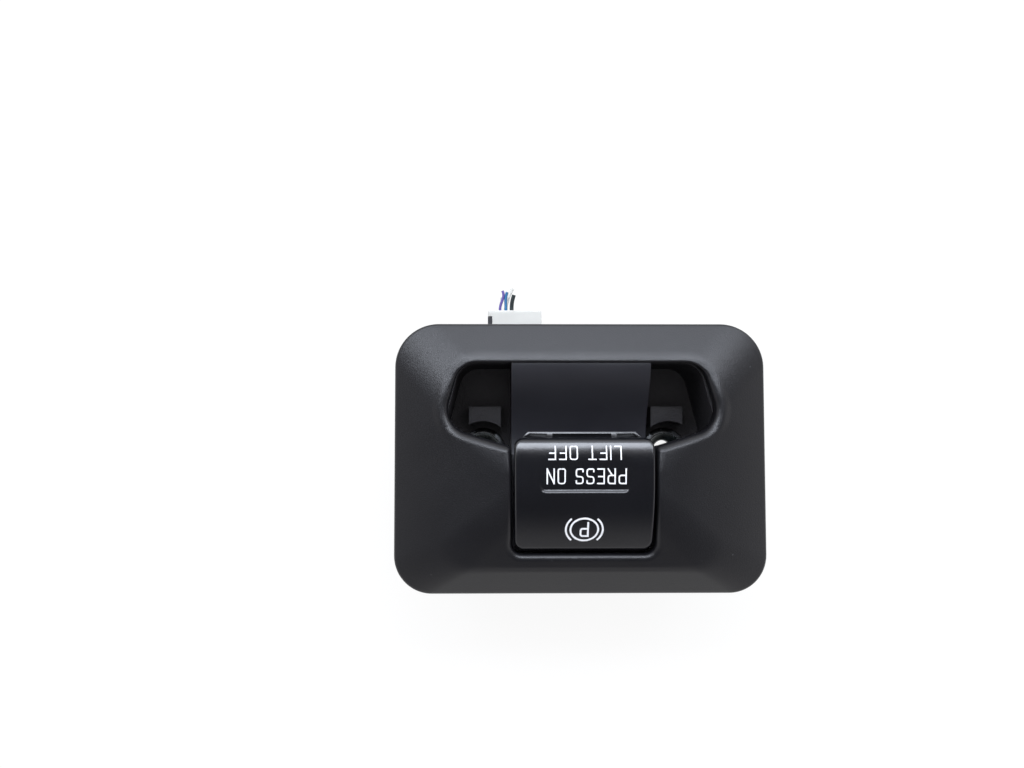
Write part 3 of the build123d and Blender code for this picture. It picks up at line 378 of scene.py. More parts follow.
def tube(path, radius, sides=14, capped=True):
    # A round section carried along a path of 3-D points without twist
    line = [Vector(p) for p in path]
    points, normal = [], None
    for i, here in enumerate(line):
        ahead = (line[min(i + 1, len(line) - 1)] - line[max(i - 1, 0)]).normalized()
        if normal is None:
            normal = ahead.orthogonal().normalized()
        normal = (normal - ahead * normal.dot(ahead)).normalized()
        side = ahead.cross(normal)
        for k in range(sides):
            angle = 2 * math.pi * k / sides
            points.append(here + (normal * math.cos(angle) + side * math.sin(angle)) * radius)
    faces = ringFaces(len(line), sides)
    if capped:
        faces.append(list(range(sides))[::-1])
        faces.append(list(range(len(points) - sides, len(points))))
    return points, faces


def roundedLoop(corners, radii, step):
    # A closed line round the corners, each turned into an arc
    loop = []
    for i, (corner, radius) in enumerate(zip(corners, radii)):
        here = np.array(corner, float)
        back = np.array(corners[i - 1], float) - here
        on = np.array(corners[(i + 1) % len(corners)], float) - here
        back /= np.linalg.norm(back)
        on /= np.linalg.norm(on)
        half = math.acos(float(np.clip(back @ on, -1, 1))) / 2
        middle = (back + on) / np.linalg.norm(back + on)
        centre = here + middle * radius / math.sin(half)
        start = here + back * radius / math.tan(half) - centre
        end = here + on * radius / math.tan(half) - centre
        first = math.atan2(start[1], start[0])
        turn = (math.atan2(end[1], end[0]) - first + math.pi) % (2 * math.pi) - math.pi
        count = max(10, int(abs(turn) * radius / step))
        for k in range(count + 1):
            angle = first + turn * k / count
            loop.append(centre + radius * np.array([math.cos(angle), math.sin(angle)]))
    filled = []
    for a, b in zip(loop, loop[1:] + loop[:1]):
        count = max(1, int(np.linalg.norm(b - a) / step))
        filled += [a + (b - a) * k / count for k in range(count)]
    return np.array(filled)


def mirroredCorners(right):
    return right + [(-x, y) for x, y in reversed(right)]


def crossings(centre, angles, loop):
    # Where rays from the centre meet a closed line that goes once round it
    a = loop - centre
    b = np.roll(a, -1, axis=0)
    out = np.zeros((len(angles), 2))
    for i, angle in enumerate(angles):
        ray = np.array([math.cos(angle), math.sin(angle)])
        sideA = ray[0] * a[:, 1] - ray[1] * a[:, 0]
        sideB = ray[0] * b[:, 1] - ray[1] * b[:, 0]
        with np.errstate(divide="ignore", invalid="ignore"):
            share = sideA / (sideA - sideB)
            hit = a + (b - a) * share[:, None]
        along = hit @ ray
        good = (sideA * sideB <= 0) & (sideA != sideB) & (along > 0)
        out[i] = centre + ray * along[good].max()
    return out


def gapToLoop(spots, loop):
    # Distance from each spot to a closed line
    best = np.full(len(spots), 1e9)
    for a, run in zip(loop, np.roll(loop, -1, axis=0) - loop):
        share = np.clip((spots - a) @ run / (run @ run), 0, 1)
        best = np.minimum(best, np.hypot(*(spots - a - share[:, None] * run).T))
    return best


def insideRounded(x, y, halfX, halfY, radius):
    # Depth inside a rounded rectangle about the middle, negative outside it
    dx = np.abs(x) - halfX + radius
    dy = np.abs(y) - halfY + radius
    outside = np.hypot(np.maximum(dx, 0), np.maximum(dy, 0))
    return radius - outside - np.minimum(np.maximum(dx, dy), 0)


def smoothStep(value):
    value = np.clip(value, 0, 1)
    return value * value * (3 - 2 * value)


def softLeast(heights, blend):
    # The lowest of several heights, rounded where they cross
    low = np.min(heights, axis=0)
    total = sum(np.exp((low - h) / blend) for h in heights)
    return low - blend * np.log(total)


def rollDrop(gap, radius):
    # How far a quarter-round edge lies below the face, at that distance from the edge
    near = np.clip(radius - gap, 0, radius)
    return radius - np.sqrt(np.maximum(radius ** 2 - near ** 2, 0))


# Bezel: a crowned shell whose opening is rolled over

bezelForm = {
    "width": 100.0, "height": 72.4, "upperCorner": 11.8, "lowerCorner": 10.2,
    # Height over distance from the edge: sides by a curve, upper and lower half by (y, height)
    "sideSlope": 0.52, "sideBend": 0.0045,
    "upper": [(36.2, 0.4), (26.6, 4.9), (25.0, 5.55), (3.0, 12.7), (-4.0, 13.0)],
    "lower": [(-36.2, 0.4), (-29.4, 6.2), (-28.2, 6.9), (-12.5, 12.6), (-4.0, 13.0)],
    "cornerShrink": (0.1, 0.35), "topLimit": 12.75, "topBlend": 0.12,
    # Rim of the opening, by y: radius of its tight round, and slope of the flare that leads into it
    "roll": [(-24.7, 2.0), (-20.0, 1.4), (-3.0, 1.3), (3.2, 2.2), (8.0, 2.7), (12.0, 2.3), (18.0, 1.9),
             (24.6, 0.6)],
    "flare": [(-3.0, 0.0), (5.0, 0.08), (12.0, 0.1), (18.0, 0.14), (24.6, 0.24)],
    "flareReach": 3.4,  # mm from the opening to where the flare begins
    "bead": [(5.0, 0.0), (10.0, 0.22), (17.0, 0.2), (22.0, 0.0)], "beadReach": 4.5, "beadInner": 2.3,
    "edgeRoll": 0.5, "rollSteps": 10, "faceRings": 34, "openingStep": 0.5, "outlineStep": 1.2,
    "wall": 2.3, "skin": 2.4, "skirtWall": 1.9, "skirtLean": 0.5, "skirtBottom": 0.5,
    "openingRight": [(18.7, -24.7), (18.7, 3.2), (36.8, 8.7), (32.2, 25.4)],
    "openingRadii": [2.8, 1.8, 6.5, 6.0], "rayCentre": (0.0, 11.0),
    "bossX": 41.5, "bossY": (20.0, -22.0), "bossRadius": 3.0, "bossFoot": -6.0, "boreRadius": 1.5,
    "boreTop": 0.4, "dowelY": -1.0, "dowelRadius": 2.0, "dowelRoot": 2.5, "dowelStep": -8.5,
    "dowelEnd": -15.0, "towerX": 22.0, "towerY": (30.2, -31.0), "towerSize": (9.0, 2.0), "towerEnd": -14.0,
}


def crownHeight(x, y):
    # Every level line of the crown is a rounded rectangle; the height is found by halving
    form = bezelForm
    upperY, upperZ = np.array(form["upper"]).T
    lowerY, lowerZ = np.array(form["lower"]).T
    low = np.full(np.shape(x), upperZ[0])
    high = np.full(np.shape(x), upperZ[-1])
    for _ in range(22):
        level = (low + high) / 2
        rise = level - upperZ[0]
        inset = (form["sideSlope"] - np.sqrt(form["sideSlope"] ** 2 - 4 * form["sideBend"] * rise))
        halfX = form["width"] / 2 - inset / (2 * form["sideBend"])
        top, bottom = np.interp(level, upperZ, upperY), np.interp(level, lowerZ, lowerY)
        corner = np.where(y > (top + bottom) / 2, form["upperCorner"] - form["cornerShrink"][0] * rise,
                          form["lowerCorner"] - form["cornerShrink"][1] * rise)
        corner = np.minimum(corner, 0.95 * np.minimum(halfX, (top - bottom) / 2))
        inside = insideRounded(x, y - (top + bottom) / 2, halfX, (top - bottom) / 2, corner) > 0
        low, high = np.where(inside, level, low), np.where(inside, high, level)
    level = (low + high) / 2
    return softLeast([level, np.full(np.shape(x), form["topLimit"])], form["topBlend"])


def bezelShape():
    form = bezelForm
    opening = roundedLoop(mirroredCorners(form["openingRight"]),
                          form["openingRadii"] + form["openingRadii"][::-1], form["openingStep"])
    halfX, halfY = form["width"] / 2, form["height"] / 2
    lower, upper = form["lowerCorner"], form["upperCorner"]
    outline = roundedLoop(rectangle(halfX, -halfY, -halfX, halfY), [lower, upper, upper, lower],
                          form["outlineStep"])
    centre = np.array(form["rayCentre"])
    angles = np.concatenate([np.arctan2(*(loop - centre).T[::-1]) for loop in (opening, outline)])
    angles = np.unique(np.round(angles, 4))
    inner = crossings(centre, angles, opening)
    outer = crossings(centre, angles, outline)
    span = np.linalg.norm(outer - inner, axis=1)
    ray = (outer - inner) / span[:, None]
    along = np.roll(inner, -1, axis=0) - np.roll(inner, 1, axis=0)
    square = np.abs(ray[:, 0] * along[:, 1] - ray[:, 1] * along[:, 0]) / np.linalg.norm(along, axis=1)
    stretch = 1 / np.clip(square, 0.4, 1)

    def rollAt(y):
        return np.interp(y, *np.array(form["roll"]).T)

    rings = []

    def addRing(offset, height):
        spots = inner + ray * np.broadcast_to(offset, len(inner))[:, None]
        z = height(spots) if callable(height) else np.full(len(spots), float(height))
        rings.append(np.column_stack([spots, z]))

    def face(spots):
        top = crownHeight(spots[:, 0], spots[:, 1])
        edgeGap = insideRounded(spots[:, 0], spots[:, 1], halfX, halfY,
                                np.where(spots[:, 1] > 0, upper, lower))
        top = top - rollDrop(np.maximum(edgeGap, 0), form["edgeRoll"])
        gap = gapToLoop(spots, opening)
        bead = np.interp(spots[:, 1], *np.array(form["bead"]).T)
        top = top + bead * smoothStep((form["beadReach"] - gap) / (form["beadReach"] - form["beadInner"]))
        flare = np.interp(spots[:, 1], *np.array(form["flare"]).T)
        top = top - flare * np.maximum(form["flareReach"] - gap, 0) ** 2 / (2 * form["flareReach"])
        return top - rollDrop(gap, rollAt(spots[:, 1]))

    def underside(spots):
        return crownHeight(spots[:, 0], spots[:, 1]) - form["skin"]

    roll = rollAt(inner[:, 1]) * stretch
    addRing(form["skirtLean"] * stretch, form["skirtBottom"])
    for k in range(form["rollSteps"] + 1):
        addRing(roll * (1 - math.cos(k / form["rollSteps"] * math.pi / 2)), face)
    last = span - 1.6 * form["edgeRoll"]
    for k in range(1, form["faceRings"] + 1):
        share = (k / form["faceRings"]) ** 1.2
        addRing(roll + (last - roll) * share, face)
    for k in range(1, 5):
        share = math.sin(k / 4 * math.pi / 2)
        addRing(last + (span - last) * share, face)
    addRing(span, -rimDepth + 0.2)
    addRing(span - 0.2, -rimDepth)
    addRing(span - form["wall"], -rimDepth)
    addRing(span - form["wall"], underside)
    skirt = form["skirtWall"] * stretch
    for k in range(1, 12):
        addRing(span - form["wall"] + (skirt - span + form["wall"]) * k / 11, underside)
    addRing(skirt, form["skirtBottom"])
    parts = [(np.vstack(rings), ringFaces(len(rings), len(inner), closed=True))]

    def under(x, y):
        return float(underside(np.array([[x, y]]))[0]) + 0.8

    # Screw bosses, locating dowels and the towers that carry the clips
    boss, bore, foot, boreTop = (form[key] for key in ("bossRadius", "boreRadius", "bossFoot", "boreTop"))
    peg, root, step, end = (form["dowel" + key] for key in ("Radius", "Root", "Step", "End"))
    wide, thick = form["towerSize"]
    section = roundedLoop(rectangle(wide / 2, -thick / 2, -wide / 2, thick / 2), [0.3] * 4, 3.0)
    for side in (-1, 1):
        x = side * form["bossX"]
        for y in form["bossY"]:
            top = under(x, y)
            parts.append(turned([(0.01, boreTop), (bore, boreTop), (bore, foot + 0.2), (bore + 0.2, foot),
                                 (boss - 0.25, foot), (boss, foot + 0.25), (boss, top), (0.01, top)], (x, y)))
        top = under(x, form["dowelY"])
        parts.append(turned([(0.01, end), (peg - 0.7, end), (peg, end + 0.7), (peg, step), (root, step),
                             (root, top), (0.01, top)], (x, form["dowelY"])))
        x = side * form["towerX"]
        for y in form["towerY"]:
            levels = [(0.92, form["towerEnd"]), (1.0, form["towerEnd"] + 0.3), (1.0, under(x, y))]
            points = [(x + p[0] * s, y + p[1] * s, z) for s, z in levels for p in section]
            parts.append((points, cappedRings(3, len(section))))
    return joined(*parts)


addPiece("bezelShell", bezelShape(), mouldedAbs, "housing", ["bezel"])
print("bezel made")


# Button cap: gloss shell with a rolled lip and a finger pad that ends in a low step

capForm = {
    "half": 17.9, "lipY": 5.5, "endY": -23.6, "corner": 2.5, "edgeRoll": 0.75, "wall": 1.6,
    # Front lip: a tight round from the upright wall, then a long flat one up to the crest
    "lipFoot": 9.8, "lipRound": 2.1, "lipTilt": 20.0, "crest": (-1.5, 13.4),
    "crown": [(-1.5, 13.4), (-10.5, 13.4), (-15.6, 11.9), (-23.6, 7.4)],
    "underside": [(-23.6, 2.8), (5.5, 5.2)], "ceiling": [(-22.0, 5.6), (-9.0, 10.3), (3.7, 10.3)],
    "padHalf": 12.4, "padLow": -8.6, "padHigh": 1.6, "padCorner": 2.6, "padDepth": 0.75, "padStep": 1.2,
    "padFade": 2.4,
    # Rings of points: over the rolled edge, out to the pad, down its step, and over the pad
    "rings": (8, 18, 10, 22), "middleShare": 0.985,
}


def bezierLine(corners, count=40):
    t = np.linspace(0, 1, count)[:, None]
    p = [np.array(c) for c in corners]
    return (1 - t) ** 3 * p[0] + 3 * (1 - t) ** 2 * t * p[1] + 3 * (1 - t) * t ** 2 * p[2] + t ** 3 * p[3]


def lipLine():
    form = capForm
    tilt, crestY, crestZ = math.radians(form["lipTilt"]), *form["crest"]
    centreY = form["lipY"] - form["lipRound"]
    longRound = (centreY + form["lipRound"] * math.sin(tilt) - crestY) / math.sin(tilt)
    turn = np.linspace(math.pi / 2, tilt, 24)
    rise = crestZ - longRound * (1 - math.cos(tilt)) - form["lipRound"] * math.cos(tilt)
    tight = np.column_stack([centreY + form["lipRound"] * np.sin(turn),
                             rise + form["lipRound"] * np.cos(turn)])
    turn = np.linspace(tilt, 0, 24)[1:]
    slow = np.column_stack([crestY + longRound * np.sin(turn), crestZ - longRound * (1 - np.cos(turn))])
    return np.vstack([[(form["lipY"], form["lipFoot"])], tight, slow])


capLine = np.vstack([lipLine(), bezierLine(capForm["crown"])[1:]])[::-1]
capMiddleY = (capForm["lipY"] + capForm["endY"]) / 2
padMiddleY = (capForm["padLow"] + capForm["padHigh"]) / 2


def capHeight(x, y):
    form = capForm
    top = np.interp(y, capLine[:, 0], capLine[:, 1])
    edge = insideRounded(x, y - capMiddleY, form["half"], (form["lipY"] - form["endY"]) / 2, form["corner"])
    top = top - rollDrop(np.maximum(edge, 0), form["edgeRoll"])
    inPad = insideRounded(x, y - padMiddleY, form["padHalf"], (form["padHigh"] - form["padLow"]) / 2,
                          form["padCorner"])
    share = np.clip((form["padHigh"] - y) / (form["padHigh"] - form["padLow"]), 0, 1)
    fade = smoothStep((form["padHalf"] - np.abs(x)) / form["padFade"])
    return top - form["padDepth"] * share ** 2 * fade * smoothStep(inPad / form["padStep"])


def capShape():
    form = capForm
    outline = roundedLoop(rectangle(form["half"], form["endY"], -form["half"], form["lipY"]),
                          [form["corner"]] * 4, 0.5)
    pad = roundedLoop(rectangle(form["padHalf"], form["padLow"], -form["padHalf"], form["padHigh"]),
                      [form["padCorner"]] * 4, 0.4)
    centre = np.array([0.0, padMiddleY])
    angles = np.concatenate([np.arctan2(*(loop - centre).T[::-1]) for loop in (outline, pad)])
    angles = np.unique(np.round(angles, 4))
    outer = crossings(centre, angles, outline)
    inner = crossings(centre, angles, pad)
    span = np.linalg.norm(outer - inner, axis=1)
    ray = (inner - outer) / span[:, None]
    reach = np.linalg.norm(inner - centre, axis=1)
    rings = []

    def addRing(offset, height):
        spots = outer + ray * np.broadcast_to(offset, len(outer))[:, None]
        rings.append(np.column_stack([spots, height(spots[:, 0], spots[:, 1])]))

    def bottom(x, y):
        return np.interp(y, *np.array(form["underside"]).T)

    def ceiling(x, y):
        return np.interp(y, *np.array(form["ceiling"]).T)

    rollRings, faceRings, stepRings, padRings = form["rings"]
    centreRing = span + reach * form["middleShare"]
    addRing(centreRing, ceiling)
    for share in (0.7, 0.4, 0.2):
        addRing(form["wall"] + (centreRing - form["wall"]) * share, ceiling)
    addRing(form["wall"], ceiling)
    addRing(form["wall"], bottom)
    addRing(0.15, bottom)
    addRing(0, lambda x, y: bottom(x, y) + 0.15)
    for k in range(rollRings + 1):
        addRing(form["edgeRoll"] * (1 - math.cos(k / rollRings * math.pi / 2)), capHeight)
    for k in range(1, faceRings + 1):
        addRing(form["edgeRoll"] + (span - form["edgeRoll"]) * (k / faceRings) ** 1.4, capHeight)
    for k in range(1, stepRings + 1):
        addRing(span + form["padStep"] * k / stepRings, capHeight)
    for share in np.linspace(0, form["middleShare"], padRings)[1:]:
        addRing(span + form["padStep"] + (reach - form["padStep"]) * share, capHeight)
    return np.vstack(rings), cappedRings(len(rings), len(outer))


addPiece("gripCap", capShape(), polishedPolycarbonate, "rocker", ["button_cap"])
print("button cap made")


# Legends: generic words and the standard parking-brake sign, read from the driver's side

legendForm = {
    "glyphs": {
        "P": [[(0, 0), (0, 1)], [(0, 1), (0.6, 1), (0.6, 0.44), (0, 0.44)]],
        "R": [[(0, 0), (0, 1)], [(0, 1), (0.6, 1), (0.6, 0.44), (0, 0.44)], [(0.26, 0.44), (0.6, 0)]],
        "E": [[(0, 0), (0, 1)], [(0, 1), (0.55, 1)], [(0, 0.52), (0.48, 0.52)], [(0, 0), (0.55, 0)]],
        "S": [[(0.58, 0.82), (0.58, 1), (0, 1), (0, 0.53), (0.58, 0.53), (0.58, 0), (0, 0), (0, 0.18)]],
        "O": [[(0.3, 0), (0, 0), (0, 1), (0.6, 1), (0.6, 0), (0.3, 0)]],
        "N": [[(0, 0), (0, 1)], [(0, 1), (0.6, 0)], [(0.6, 0), (0.6, 1)]],
        "L": [[(0, 1), (0, 0)], [(0, 0), (0.52, 0)]],
        "I": [[(0, 0), (0, 1)]],
        "F": [[(0, 0), (0, 1)], [(0, 1), (0.55, 1)], [(0, 0.52), (0.48, 0.52)]],
        "T": [[(0.3, 0), (0.3, 1)], [(0, 1), (0.6, 1)]],
    },
    "gap": 0.36, "space": 0.62, "bend": 0.17,
    "rows": [("PRESS ON", 0.4, 20.4, -2.2, 4.05, 0.36), ("LIFT OFF", 0.0, 18.7, 3.5, 3.6, 0.33)],
    "signMiddle": (0.0, -18.0), "signFlat": 0.83, "ringRadius": 3.55, "bracketRadius": 4.75,
    "bracketAngle": 43.0, "signStroke": 0.48, "signLetter": 3.5, "proud": 0.03, "sunk": 0.08,
}


def bentLine(corners, bend):
    # An open line with its corners rounded, as 2-D points no more than 0.25 mm apart
    line = [np.array(corners[0], float)]
    for i in range(1, len(corners) - 1):
        here = np.array(corners[i], float)
        back = np.array(corners[i - 1], float) - here
        on = np.array(corners[i + 1], float) - here
        cut = min(bend, np.linalg.norm(back) / 2, np.linalg.norm(on) / 2)
        a = here + back / np.linalg.norm(back) * cut
        b = here + on / np.linalg.norm(on) * cut
        line += [(1 - t) ** 2 * a + 2 * t * (1 - t) * here + t * t * b for t in np.linspace(0, 1, 7)]
    line.append(np.array(corners[-1], float))
    filled = [line[0]]
    for a, b in zip(line, line[1:]):
        count = max(1, math.ceil(np.linalg.norm(b - a) / 0.25))
        filled += [a + (b - a) * k / count for k in range(1, count + 1)]
    return np.array(filled)


def inkStroke(line, width):
    # A flat ribbon of ink laid on the cap along a line, with square ends
    tangent = np.gradient(line, axis=0)
    tangent /= np.linalg.norm(tangent, axis=1)[:, None]
    line = line.copy()
    line[0] -= tangent[0] * width / 2
    line[-1] += tangent[-1] * width / 2
    side = np.column_stack([-tangent[:, 1], tangent[:, 0]]) * width / 2
    points = []
    for spot, across in zip(line, side):
        for sign, lift in ((1, 1), (-1, 1), (-1, 0), (1, 0)):
            x, y = spot + across * sign
            z = float(capHeight(np.array([x]), np.array([y]))[0])
            points.append((x, y, z + (legendForm["proud"] if lift else -legendForm["sunk"])))
    return points, cappedRings(len(line), 4)


def legendShape():
    form = legendForm
    parts = []
    for words, middleX, wide, baseY, tall, stroke in form["rows"]:
        spots, pen = [], 0.0
        for letter in words:
            if letter == " ":
                pen += form["space"]
                continue
            strokes = form["glyphs"][letter]
            spots += [[(x + pen, y) for x, y in line] for line in strokes]
            pen += max(x for line in strokes for x, y in line) + form["gap"]
        total = pen - form["gap"]
        inner, tallInner = wide - stroke, tall - stroke
        for line in spots:
            # Turned half round, so that the tops point towards the driver
            corners = [(middleX + wide / 2 - stroke / 2 - x / total * inner,
                        baseY - stroke / 2 - y * tallInner) for x, y in line]
            parts.append(inkStroke(bentLine(corners, form["bend"] * tall), stroke))
    x0, y0 = form["signMiddle"]
    flat = form["signFlat"]

    def arc(radius, first, last):
        turn = np.radians(np.linspace(first, last, max(12, int(abs(last - first) / 5))))
        return np.column_stack([x0 + radius * np.cos(turn), y0 + radius * flat * np.sin(turn)])

    parts.append(inkStroke(arc(form["ringRadius"], 0, 360), form["signStroke"]))
    for middle in (0, 180):
        parts.append(inkStroke(arc(form["bracketRadius"], middle - form["bracketAngle"],
                                   middle + form["bracketAngle"]), form["signStroke"]))
    size = form["signLetter"]
    for line in form["glyphs"]["P"]:
        corners = [(x0 - (x - 0.3) * size * 0.9, y0 - (y - 0.5) * size) for x, y in line]
        parts.append(inkStroke(bentLine(corners, form["bend"] * size), form["signStroke"]))
    return joined(*parts)


addPiece("capLegends", legendShape(), padPrintInk, "rocker", sharpAngle=60)
print("legends made")


# Mouldings whose CAD shape is right: their edges get the small radius of a tool

softForms = {
    # node: piece, edge radius in mm, material, body, slot
    "carrier_frame": ("carrierTray", 0.1, glassNylon, "housing", "tray_black"),
    "switch_housing": ("scoopHousing", 0.08, satinNylon, "housing", "tray_black"),
    "rear_cover": ("rearCover", 0.25, glassNylon, "housing", "tray_black"),
    "pull_grip": ("pullTongue", 0.12, polishedPolycarbonate, "rocker", "gloss_black"),
    "rocker_frame": ("rockerFrame", 0.15, mouldedAcetal, "rocker", "working_black"),
    "contact_carriage": ("contactCarriage", 0.15, mouldedAcetal, "carriage", "working_black"),
    "plug_housing": ("plugBody", 0.05, naturalPbt, "housing", "plug_grey"),
    "plug_lock": ("plugLock", 0.1, naturalPbt, "housing", "plug_grey"),
}
for node, (name, width, material, body, slotName) in softForms.items():
    softened(name, node, width, material, body)
# The housing's sides stand close in the bay, so that no table shows beside them
housingFit = {"side": 18.35, "bay": 18.58, "upper": 25.0, "reach": 0.18, "above": 3.8}
for vert in bpy.data.objects["scoopHousing"].data.vertices:
    spot = vert.co / mm - faceMiddle
    if abs(abs(spot.x) - housingFit["side"]) < 0.05:
        vert.co.x = math.copysign(housingFit["bay"], vert.co.x) * mm
    # Its upper edge reaches under the bezel's rim
    if spot.y > housingFit["upper"] and spot.z > housingFit["above"]:
        vert.co.y += housingFit["reach"] * mm
# The tongue's rim and pegs slant towards the far edge, so that they catch the window
tongueSlant = {"above": 4.6, "from": 5.5, "slope": 0.32}
for vert in bpy.data.objects["pullTongue"].data.vertices:
    spot = vert.co / mm - faceMiddle
    if spot.z > tongueSlant["above"] and spot.y > tongueSlant["from"]:
        vert.co.z -= (spot.y - tongueSlant["from"]) * tongueSlant["slope"] * mm
print("mouldings softened")


# Bushes: turned steel with a flared ring in front, and a bore in darker steel as painted shade

bushForm = {"bore": 2.7, "body": 5.15, "flange": 6.4, "mouth": 4.75, "cone": 3.2, "thick": 4.5,
            # The flared ring's section: how far in from its edge, how far below its crest
            "ring": [(0.0, 0.95), (0.06, 0.78), (0.2, 0.66), (0.75, 0.45), (1.2, 0.3), (1.45, 0.26),
                     (1.58, 0.3), (1.65, 0.4)]}


def bushShapes():
    form = bushForm
    bore, body, mouth, cone = (form[key] for key in ("bore", "body", "mouth", "cone"))
    rings, bores = [], []
    for low, high in islands("fixing_bushes"):
        x, y = (low.x + high.x) / 2, (low.y + high.y) / 2
        seat = low.z + form["thick"]
        profile = [(bore + 0.15, low.z), (body - 0.2, low.z), (body, low.z + 0.2), (body, seat),
                   (form["flange"], seat)]
        profile += [(form["flange"] - out, high.z - down) for out, down in form["ring"]]
        rings.append(turned(profile, (x, y), 72))
        funnel = [(mouth, high.z - 0.4), (mouth - 0.35, high.z - 1.1), (bore + 0.5, high.z - cone + 0.5),
                  (bore, high.z - cone), (bore, low.z + 0.15), (bore + 0.15, low.z)]
        bores.append(turned(funnel, (x, y), 72))
    return joined(*rings), joined(*bores)


bushRings, bushBores = bushShapes()
addPiece("flaredBushes", bushRings, zincPlatedSteel, "housing", ["fixing_bushes"], 50)
addPiece("bushBores", bushBores, boreShadeSteel, "housing", sharpAngle=50)


# Screws: pan heads with a six-lobed socket, driven from behind

screwForm = {"head": 1.9, "radius": 2.6, "shank": 1.45, "socket": 1.05, "socketDeep": 1.1, "lobe": 0.14,
             "edge": 0.6}


def screwShape(node):
    form = screwForm
    socket, radius, edge, shank = (form[key] for key in ("socket", "radius", "edge", "shank"))
    parts = []
    for low, high in islands(node):
        x, y = (low.x + high.x) / 2, (low.y + high.y) / 2
        foot, tip = low.z, high.z
        deep, seat = foot + form["socketDeep"], foot + form["head"]
        profile = [(0.02, deep), (socket * 0.92, deep), (socket, foot + 0.1), (socket + 0.12, foot + 0.02),
                   (socket + 0.3, foot)]
        for k in range(7):
            angle = k / 6 * math.pi / 2
            profile.append((radius - edge * (1 - math.sin(angle)), foot + edge * (1 - math.cos(angle))))
        profile += [(radius, seat), (shank, seat), (shank, tip - 0.5), (shank - 0.4, tip), (0.02, tip)]
        parts.append(turned(profile, (x, y), 48, lobes=(6, form["lobe"], 1, 3)))
    return joined(*parts)


for node, name in (("bezel_screws", "bezelScrews"), ("cover_screws", "coverScrews"),
                   ("module_screws", "moduleScrews")):
    addPiece(name, screwShape(node), zincPlatedSteel, "housing", [node], 45)


# Springs: round wire coiled between the rocker's feet and their seats

springForm = {
    "wire": 0.5, "radius": 2.0, "turns": {"springs_lower": 5.0, "springs_upper": 4.5}, "closed": 0.75,
    # Fixed end (y and height in the frame, mm), lean of the push in degrees, share of the length it leaves
    "pressed": {"springs_lower": (-6.9, 8.0, 0.0, 0.72), "springs_upper": (-6.9, 23.4, 37.0, 0.56)},
}


def springShape(node):
    form = springForm
    turns = form["turns"][node]
    parts = []
    for low, high in islands(node):
        x, y = (low.x + high.x) / 2, (low.y + high.y) / 2
        start, rise = low.z + form["wire"] / 2, high.z - low.z - form["wire"]
        path = []
        for t in np.linspace(0, 1, int(turns * 20) + 1):
            # The first and last turns lie flat, as a ground end does
            climb = (t * turns - form["closed"]) / (turns - 2 * form["closed"])
            share = 0.8 * float(np.clip(climb, 0, 1)) + 0.2 * float(smoothStep(climb))
            angle = 2 * math.pi * turns * t
            path.append((x + form["radius"] * math.cos(angle), y + form["radius"] * math.sin(angle),
                         start + rise * share))
        parts.append(tube(path, form["wire"] / 2 - 0.02, 8))
    return joined(*parts)


for node, name in (("springs_lower", "lowerSprings"), ("springs_upper", "upperSprings")):
    spring = addPiece(name, springShape(node), springSteel, "housing", [node], 60)
    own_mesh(spring)
print("bushes, screws and springs made")


# Wires: five stubs cut off short, each with its copper showing at the cut

wireForm = {
    "wires": {
        # colour: radius, column, row, tip x, tip y, bow to the side
        "violet": (0.42, 0, 1, -20.95, 50.3, 1.3), "grey": (0.42, 0, -1, -21.2, 48.6, 0.3),
        "blue": (0.45, 1, 1, -19.5, 49.9, -0.6), "white": (0.55, 1, -1, -17.8, 51.4, -0.5),
        "black": (0.62, 2, 1, -17.4, 49.0, -0.2),
    },
    "plugX": -17.2, "plugZ": -32.2, "plugEnd": 44.0, "pitch": 1.8, "rowOffset": 1.1, "start": 40.7,
    "straight": 0.6, "lean": 2.2, "splay": 1.2,
    # Cut end: sides of the tube, share of the core, depth of the hollow, length of the strands
    "sides": 20, "core": 0.62, "hollow": 0.35, "strand": 1.5,
}


def wirePath(column, row, tipX, tipY, bow):
    form = wireForm
    x = form["plugX"] + (column - 2.5) * form["pitch"]
    z = form["plugZ"] + row * form["rowOffset"]
    root, mouth = Vector((x, form["start"], z)), Vector((x, form["plugEnd"] + form["straight"], z))
    tip = Vector((tipX, tipY, form["plugZ"] + row * form["rowOffset"] * form["splay"]))
    bend = tip - (tip - mouth) * 0.35 + Vector((bow, 0, 0))
    curve = bezierLine([mouth, mouth + Vector((0, form["lean"], 0)), bend, tip], 14)
    return [root, (root + mouth) / 2] + [Vector(spot) for spot in curve]


def cutWire(path, radius):
    # The insulation, with a ring at the cut and a short hollow in front of the core
    sides = wireForm["sides"]
    points, faces = tube(path, radius, sides, capped=False)
    ahead = (path[-1] - path[-2]).normalized()
    core = [path[-1] + (p - path[-1]) * wireForm["core"] for p in points[-sides:]]
    points = points + core + [p - ahead * wireForm["hollow"] for p in core]
    start = len(points) - 3 * sides
    for k in range(sides):
        j = (k + 1) % sides
        faces.append([start + k, start + j, start + sides + j, start + sides + k])
        faces.append([start + sides + k, start + sides + j, start + 2 * sides + j, start + 2 * sides + k])
    faces.append(list(range(sides)))
    faces.append(list(range(start + 2 * sides, start + 3 * sides)))
    return points, faces


def coreStrands(path, radius):
    # Seven strands, one in the middle and six round it
    ahead = (path[-1] - path[-2]).normalized()
    side = ahead.orthogonal().normalized()
    strand = radius * wireForm["core"] / 3.05
    strands = []
    for k in range(7):
        around = Vector() if k == 0 else (Matrix.Rotation(k * math.pi / 3, 3, ahead) @ side) * strand * 2
        back = path[-1] - ahead * wireForm["strand"] + around
        tip = path[-1] + around + ahead * 0.02 * (k % 3)
        strands.append(tube([back, back + ahead * 0.8, tip], strand, 10))
    return joined(*strands)


